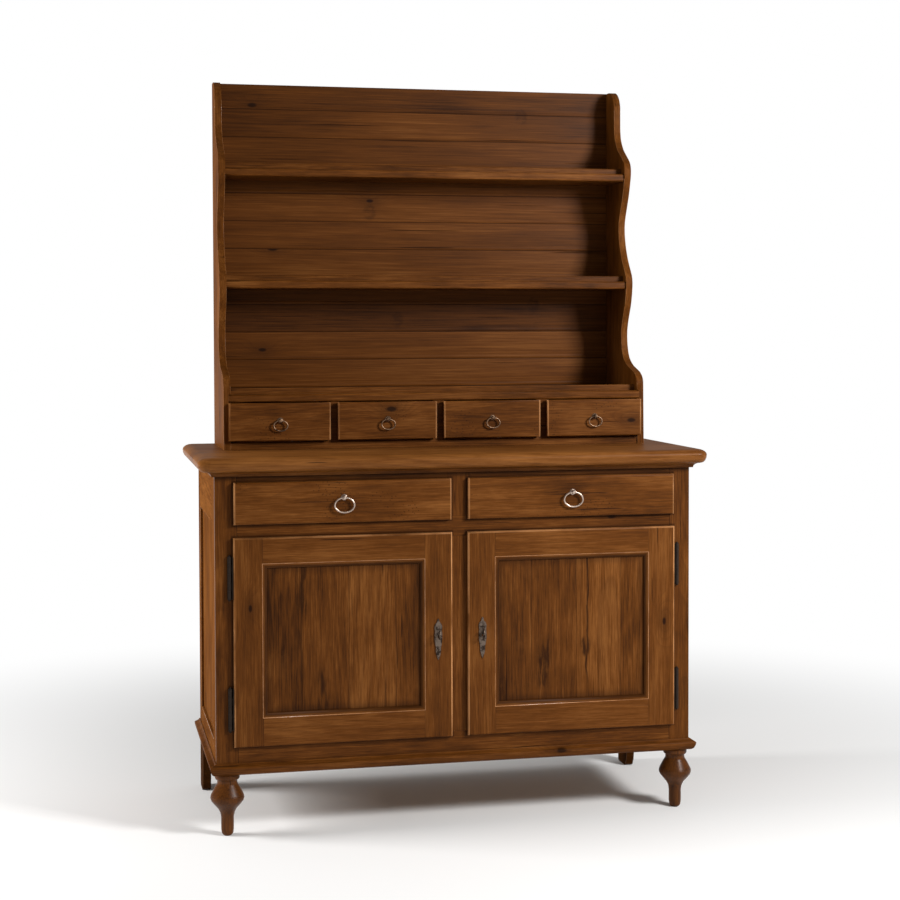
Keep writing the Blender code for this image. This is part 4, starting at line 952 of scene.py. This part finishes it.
def right_panel_marks(x, y, z, finish):
    """A long crack with a knotted place in it, and a flame of dark grain low at the left."""
    wave = finish.noise(finish.vector(0.0, 0.0, z), 9.0, 2.0, 0.5)
    rough = finish.noise(finish.vector(x, y, z * 0.15), 120, 3.0, 0.6)
    split = line(x + (wave - 0.5) * SPLIT_WANDER, SPLIT_X, SPLIT_WIDTH)
    crack = split * z.fade(*SPLIT_BOTTOM) * (1 - z.fade(*SPLIT_TOP)) * rough.fade(0.22, 0.50)
    knot = spot(x, z, *RIGHT_KNOT)
    flame = spot(x - z * FLAME_SLANT, z, *RIGHT_FLAME)
    return crack.math("MAXIMUM", (knot.math("MAXIMUM", flame) * rough.fade(0.38, 0.62))) * 0.80


PANEL_MARKS = {"left": left_panel_marks, "right": right_panel_marks}


class SIDEBOARD_OT_hinges(PieceOperator, bpy.types.Operator):
    """Makes the butt hinges with their pins and finials"""
    bl_idname = "sideboard.hinges"
    bl_label = "Hinges"

    def make(self):
        """Both halves of each hinge get dark iron."""
        colour = [value * 0.6 for value in settings().metal.iron]
        iron = metal("hinge iron", colour, 0.62, 0.5, 0.2)
        for node in sorted(NODES):
            if node.startswith("hinge_"):
                dress(node, iron, settings().edges.metal, 40)


class SIDEBOARD_OT_locks(PieceOperator, bpy.types.Operator):
    """Makes the locks, bolts, shaped plates and keys"""
    bl_idname = "sideboard.locks"
    bl_label = "Locks and keys"

    def make(self):
        """Plates and keys are brighter than the lock cases."""
        edges = settings().edges
        iron = metal("lock iron", settings().metal.iron[:], 0.50, 0.7, 0.6)
        pewter = [value * 0.62 for value in settings().metal.pewter]
        worn = metal("key metal", pewter, 0.42, 0.85, clean=0.06)
        for name in ("left", "right"):
            dress("lock_case_" + name, iron, edges.metal)
            dress("lock_bolt_" + name, iron, edges.metal)
            dress("lock_plate_" + name, worn, edges.metal)
            dress("key_" + name, worn, edges.metal, 50)


class SIDEBOARD_OT_base_drawers(PieceOperator, bpy.types.Operator):
    """Makes the two drawers under the worktop"""
    bl_idname = "sideboard.base_drawers"
    bl_label = "Base drawers"

    def make(self):
        """Fronts are stained, the boxes behind them are bare."""
        drawer_pieces(["base_drawer_left", "base_drawer_right"])


class SIDEBOARD_OT_small_drawers(PieceOperator, bpy.types.Operator):
    """Makes the four small drawers of the rack"""
    bl_idname = "sideboard.small_drawers"
    bl_label = "Small drawers"

    def make(self):
        """Fronts are stained, the boxes behind them are bare."""
        drawer_pieces(["small_drawer_%d" % i for i in range(1, 5)])


def drawer_pieces(nodes):
    """Drawers whose material changes from stain to bare wood behind the front."""
    front = low(nodes[0], 1)
    arris = worn_arris()
    plain = bare_pine(nodes[0] + " box pine", "y")
    for node in nodes:
        middle, half = front_oblong(node)[:2]

        def rubbed(x, y, z):
            return worn_sides(x, middle, half) * near_front(y, front) * DRAWER_SIDES_WORN

        stained = pine(node + " front pine", "x", marks=worm_holes, worn=0.05, rubbed=rubbed)
        piece = dress(node, stained, settings().edges.fine * 2, 40, arris)
        piece.data.materials.append(plain)
        for face in piece.data.polygons:
            if face.center.y > front + DRAWER_FRONT_DEPTH:
                face.material_index = 2


def worm_holes(x, y, z, finish):
    """Small dark flecks and holes, in clusters."""
    cell = finish.node("ShaderNodeTexVoronoi", {"voronoi_dimensions": "2D"},
                       {"Vector": finish.vector(x, z, 0.0), "Scale": 85.0, "Randomness": 1.0})
    where = finish.noise(finish.vector(x, y, z), 9.0, 2.0, 0.5).fade(0.54, 0.62)
    return (1 - cell.fade(0.08, 0.15)) * where * 0.65


class SIDEBOARD_OT_pulls(PieceOperator, bpy.types.Operator):
    """Makes the ring pulls and their posts"""
    bl_idname = "sideboard.pulls"
    bl_label = "Ring pulls"

    def make(self):
        """Rings are smoothed, posts keep their crisp steps."""
        colours = settings().metal
        bright = metal("base pull metal", colours.bright[:], 0.30, 0.95, clean=0.20)
        dull = metal("small pull metal", colours.dull[:], 0.44, 0.85, clean=0.12)
        for node in sorted(NODES):
            worn = dull if "small" in node else bright
            if node.startswith("pull_ring_"):
                round_form(node, worn, 2)
            elif node.startswith("pull_post_"):
                dress(node, worn, settings().edges.metal, 40)


class SIDEBOARD_OT_rack_sides(PieceOperator, bpy.types.Operator):
    """Makes the scalloped sides of the rack"""
    bl_idname = "sideboard.rack_sides"
    bl_label = "Rack sides"

    def make(self):
        """Upright grain, worn along the curves."""
        wood = pine("rack side pine", "z", "x", tone=0.02, wax=-0.10, gloss=0.04)
        for name in ("left", "right"):
            dress("rack_side_" + name, wood, settings().edges.board, 40, worn_arris())


class SIDEBOARD_OT_shelves(PieceOperator, bpy.types.Operator):
    """Makes the three shelves with their plate stops"""
    bl_idname = "sideboard.shelves"
    bl_label = "Shelves"

    def make(self):
        """Level grain on all three."""
        wood = pine("shelf pine", "x", tone=0.02, worn=0.06)
        arris = worn_arris()
        for node in ("lower_shelf", "middle_shelf", "top_shelf"):
            dress(node, wood, settings().edges.fine * 2, 50, arris)


class SIDEBOARD_OT_rack_back(PieceOperator, bpy.types.Operator):
    """Makes the rack's back of matched level boards"""
    bl_idname = "sideboard.rack_back"
    bl_label = "Rack back"

    def make(self):
        """Each board has its own tone and figure."""
        start = low("rack_back", 2)
        joint = RACK_JOINT / RACK_BOARD

        def boards(x, y, z):
            return board_number(z, start, RACK_BOARD)

        def seams(x, y, z):
            return board_joints(z, start, RACK_BOARD, joint * 0.4, joint) * 0.75

        # The darker tone of the back is partly painted shade, for the shadows that plates on the
        # shelves cast on it.
        wood = pine("rack back pine", "x", tone=0.14, boards=boards, joints=seams,
                    marks=back_marks, contrast=0.62, stretch=0.45)
        dress("rack_back", wood, settings().edges.fine / 2, 50)


def back_marks(x, y, z, finish):
    """Knots with a smear above and below them."""
    rough = finish.noise(finish.vector(x * 0.5, y, z), 60, 3.0, 0.6).fade(0.36, 0.60)
    return any_spot(x, z, BACK_KNOTS) * rough * 0.40


class SIDEBOARD_OT_rack_base(PieceOperator, bpy.types.Operator):
    """Makes the board and uprights that hold the small drawers"""
    bl_idname = "sideboard.rack_base"
    bl_label = "Rack base"

    def make(self):
        """Level grain, as most of what shows is the long front edge."""
        dress("rack_base", pine("rack base pine", "x", tone=0.06), settings().edges.fine, 50)


# Each lamp's place, the point it looks at, and its size, in metres
KEY_LAMP = ((1.95, -2.1, 2.1), (0.1, 0.0, 1.0), 0.75)
SIDE_LAMP = ((-3.3, 0.35, 1.7), (-0.5, -0.1, 0.9), 1.3)

FLOOR_HALF = 40
FLOOR_ROUGHNESS = 0.9
WHITE_FROM = 0.85
WHITE_TO = 2.6


class SIDEBOARD_OT_stage(PieceOperator, bpy.types.Operator):
    """Makes the floor, the lamps and the camera"""
    bl_idname = "sideboard.stage"
    bl_label = "Studio"

    def make(self):
        """A pale floor, a soft lamp at the right front, and one that grazes the front."""
        studio = settings().studio
        make_floor(studio.floor[:])
        make_lamp("key lamp", *KEY_LAMP, studio.key)
        make_lamp("side lamp", *SIDE_LAMP, studio.side, glare=False)
        make_world(studio.world)
        make_camera(studio)
        bpy.context.scene.view_settings.view_transform = "Standard"


def make_floor(colour):
    """A wide floor that fades into white far from the object."""
    bm = bmesh.new()
    bmesh.ops.create_grid(bm, x_segments=1, y_segments=1, size=FLOOR_HALF)
    mesh = bpy.data.meshes.new("floor")
    bm.to_mesh(mesh)
    bm.free()
    finish = Finish("studio floor")
    finish.feed(finish.shader.inputs["Base Color"], colour)
    finish.feed(finish.shader.inputs["Roughness"], FLOOR_ROUGHNESS)
    x, y = finish.place()[:2]
    away = (x * x + y * y).math("SQRT").fade(WHITE_FROM, WHITE_TO)
    white = finish.node("ShaderNodeEmission", None, {"Color": WHITE, "Strength": 1.0})
    rays = [finish.node("ShaderNodeLightPath", output=i)
            for i in ("Is Camera Ray", "Is Glossy Ray", "Is Transmission Ray")]
    seen = (rays[0] + rays[1] + rays[2]).math("MINIMUM", 1.0)
    blend = finish.node("ShaderNodeMixShader", None,
                        {0: away * seen, 1: Wire(finish, finish.shader.outputs[0]), 2: white})
    finish.feed(finish.tree.nodes["Material Output"].inputs["Surface"], blend)
    mesh.materials.append(finish.owner)
    floor = bpy.data.objects.new("studio_floor", mesh)
    bpy.context.scene.collection.objects.link(floor)


def make_lamp(name, place, aim, size, power, glare=True):
    """A square soft lamp that looks at a point. Without glare it gives no highlights."""
    data = bpy.data.lights.new(name, "AREA")
    data.size = size
    data.energy = power
    lamp = bpy.data.objects.new(name, data)
    bpy.context.scene.collection.objects.link(lamp)
    lamp.location = place
    lamp.visible_glossy = glare
    lamp.rotation_mode = "QUATERNION"
    lamp.rotation_quaternion = (Vector(aim) - Vector(place)).to_track_quat("-Z", "Y")


def make_world(strength):
    """Even white light, seen as plain white by the camera."""
    finish = Finish("studio", world=True)
    bpy.context.scene.world = finish.owner
    finish.feed(finish.shader.inputs["Color"], WHITE)
    seen = finish.node("ShaderNodeLightPath", output="Is Camera Ray")
    finish.feed(finish.shader.inputs["Strength"],
                finish.node("ShaderNodeMix", None, {0: seen, 2: strength, 3: 1.0}))


def make_camera(studio):
    """The camera at the photographed angle."""
    up = Vector((0, 0, 1))
    ahead = Vector((math.sin(studio.heading), math.cos(studio.heading), 0))
    right = Vector((math.cos(studio.heading), -math.sin(studio.heading), 0))
    forward = ahead * math.cos(studio.pitch) + up * math.sin(studio.pitch)
    over = up * math.cos(studio.pitch) - ahead * math.sin(studio.pitch)
    side = right * math.cos(studio.roll) + over * math.sin(studio.roll)
    top = over * math.cos(studio.roll) - right * math.sin(studio.roll)
    data = bpy.data.cameras.new("camera")
    data.sensor_width = 36.0
    data.lens = studio.lens
    data.shift_y = studio.rise
    camera = bpy.data.objects.new("camera", data)
    bpy.context.scene.collection.objects.link(camera)
    turn = Matrix((side, top, -forward)).transposed().to_4x4()
    camera.matrix_world = Matrix.Translation(studio.camera) @ turn
    bpy.context.scene.camera = camera


OPERATORS = (
    SIDEBOARD_OT_face_frame, SIDEBOARD_OT_worktop, SIDEBOARD_OT_mouldings, SIDEBOARD_OT_sides,
    SIDEBOARD_OT_feet, SIDEBOARD_OT_inside, SIDEBOARD_OT_doors, SIDEBOARD_OT_hinges,
    SIDEBOARD_OT_locks, SIDEBOARD_OT_base_drawers, SIDEBOARD_OT_small_drawers, SIDEBOARD_OT_pulls,
    SIDEBOARD_OT_rack_sides, SIDEBOARD_OT_shelves, SIDEBOARD_OT_rack_back, SIDEBOARD_OT_rack_base,
    SIDEBOARD_OT_stage)


class SIDEBOARD_PT_panel(bpy.types.Panel):
    """Lists the settings and the pieces"""
    bl_idname = "SIDEBOARD_PT_panel"
    bl_label = "Sideboard"
    bl_space_type = "VIEW_3D"
    bl_region_type = "UI"
    bl_category = "Sideboard"

    def draw(self, context):
        """Shows each group of settings, then a button for each piece."""
        chosen = context.scene.sideboard
        for group in (chosen.wood, chosen.metal, chosen.edges, chosen.studio):
            box = self.layout.box()
            for name in group.__annotations__:
                box.prop(group, name)
        for operator in OPERATORS:
            self.layout.operator(operator.bl_idname)


CLASSES = (SideboardWood, SideboardMetal, SideboardEdges, SideboardStudio, SideboardSettings,
           SIDEBOARD_PT_panel) + OPERATORS


def register():
    """Makes the settings, the operators and the panel known."""
    for item in CLASSES:
        bpy.utils.register_class(item)
    bpy.types.Scene.sideboard = PointerProperty(type=SideboardSettings)


def unregister():
    """Takes them away again."""
    del bpy.types.Scene.sideboard
    for item in reversed(CLASSES):
        bpy.utils.unregister_class(item)


def main():
    """Makes every piece and the stage."""
    register()
    for operator in OPERATORS:
        family, name = operator.bl_idname.split(".")
        getattr(getattr(bpy.ops, family), name)()


if __name__ == "__main__":
    main()
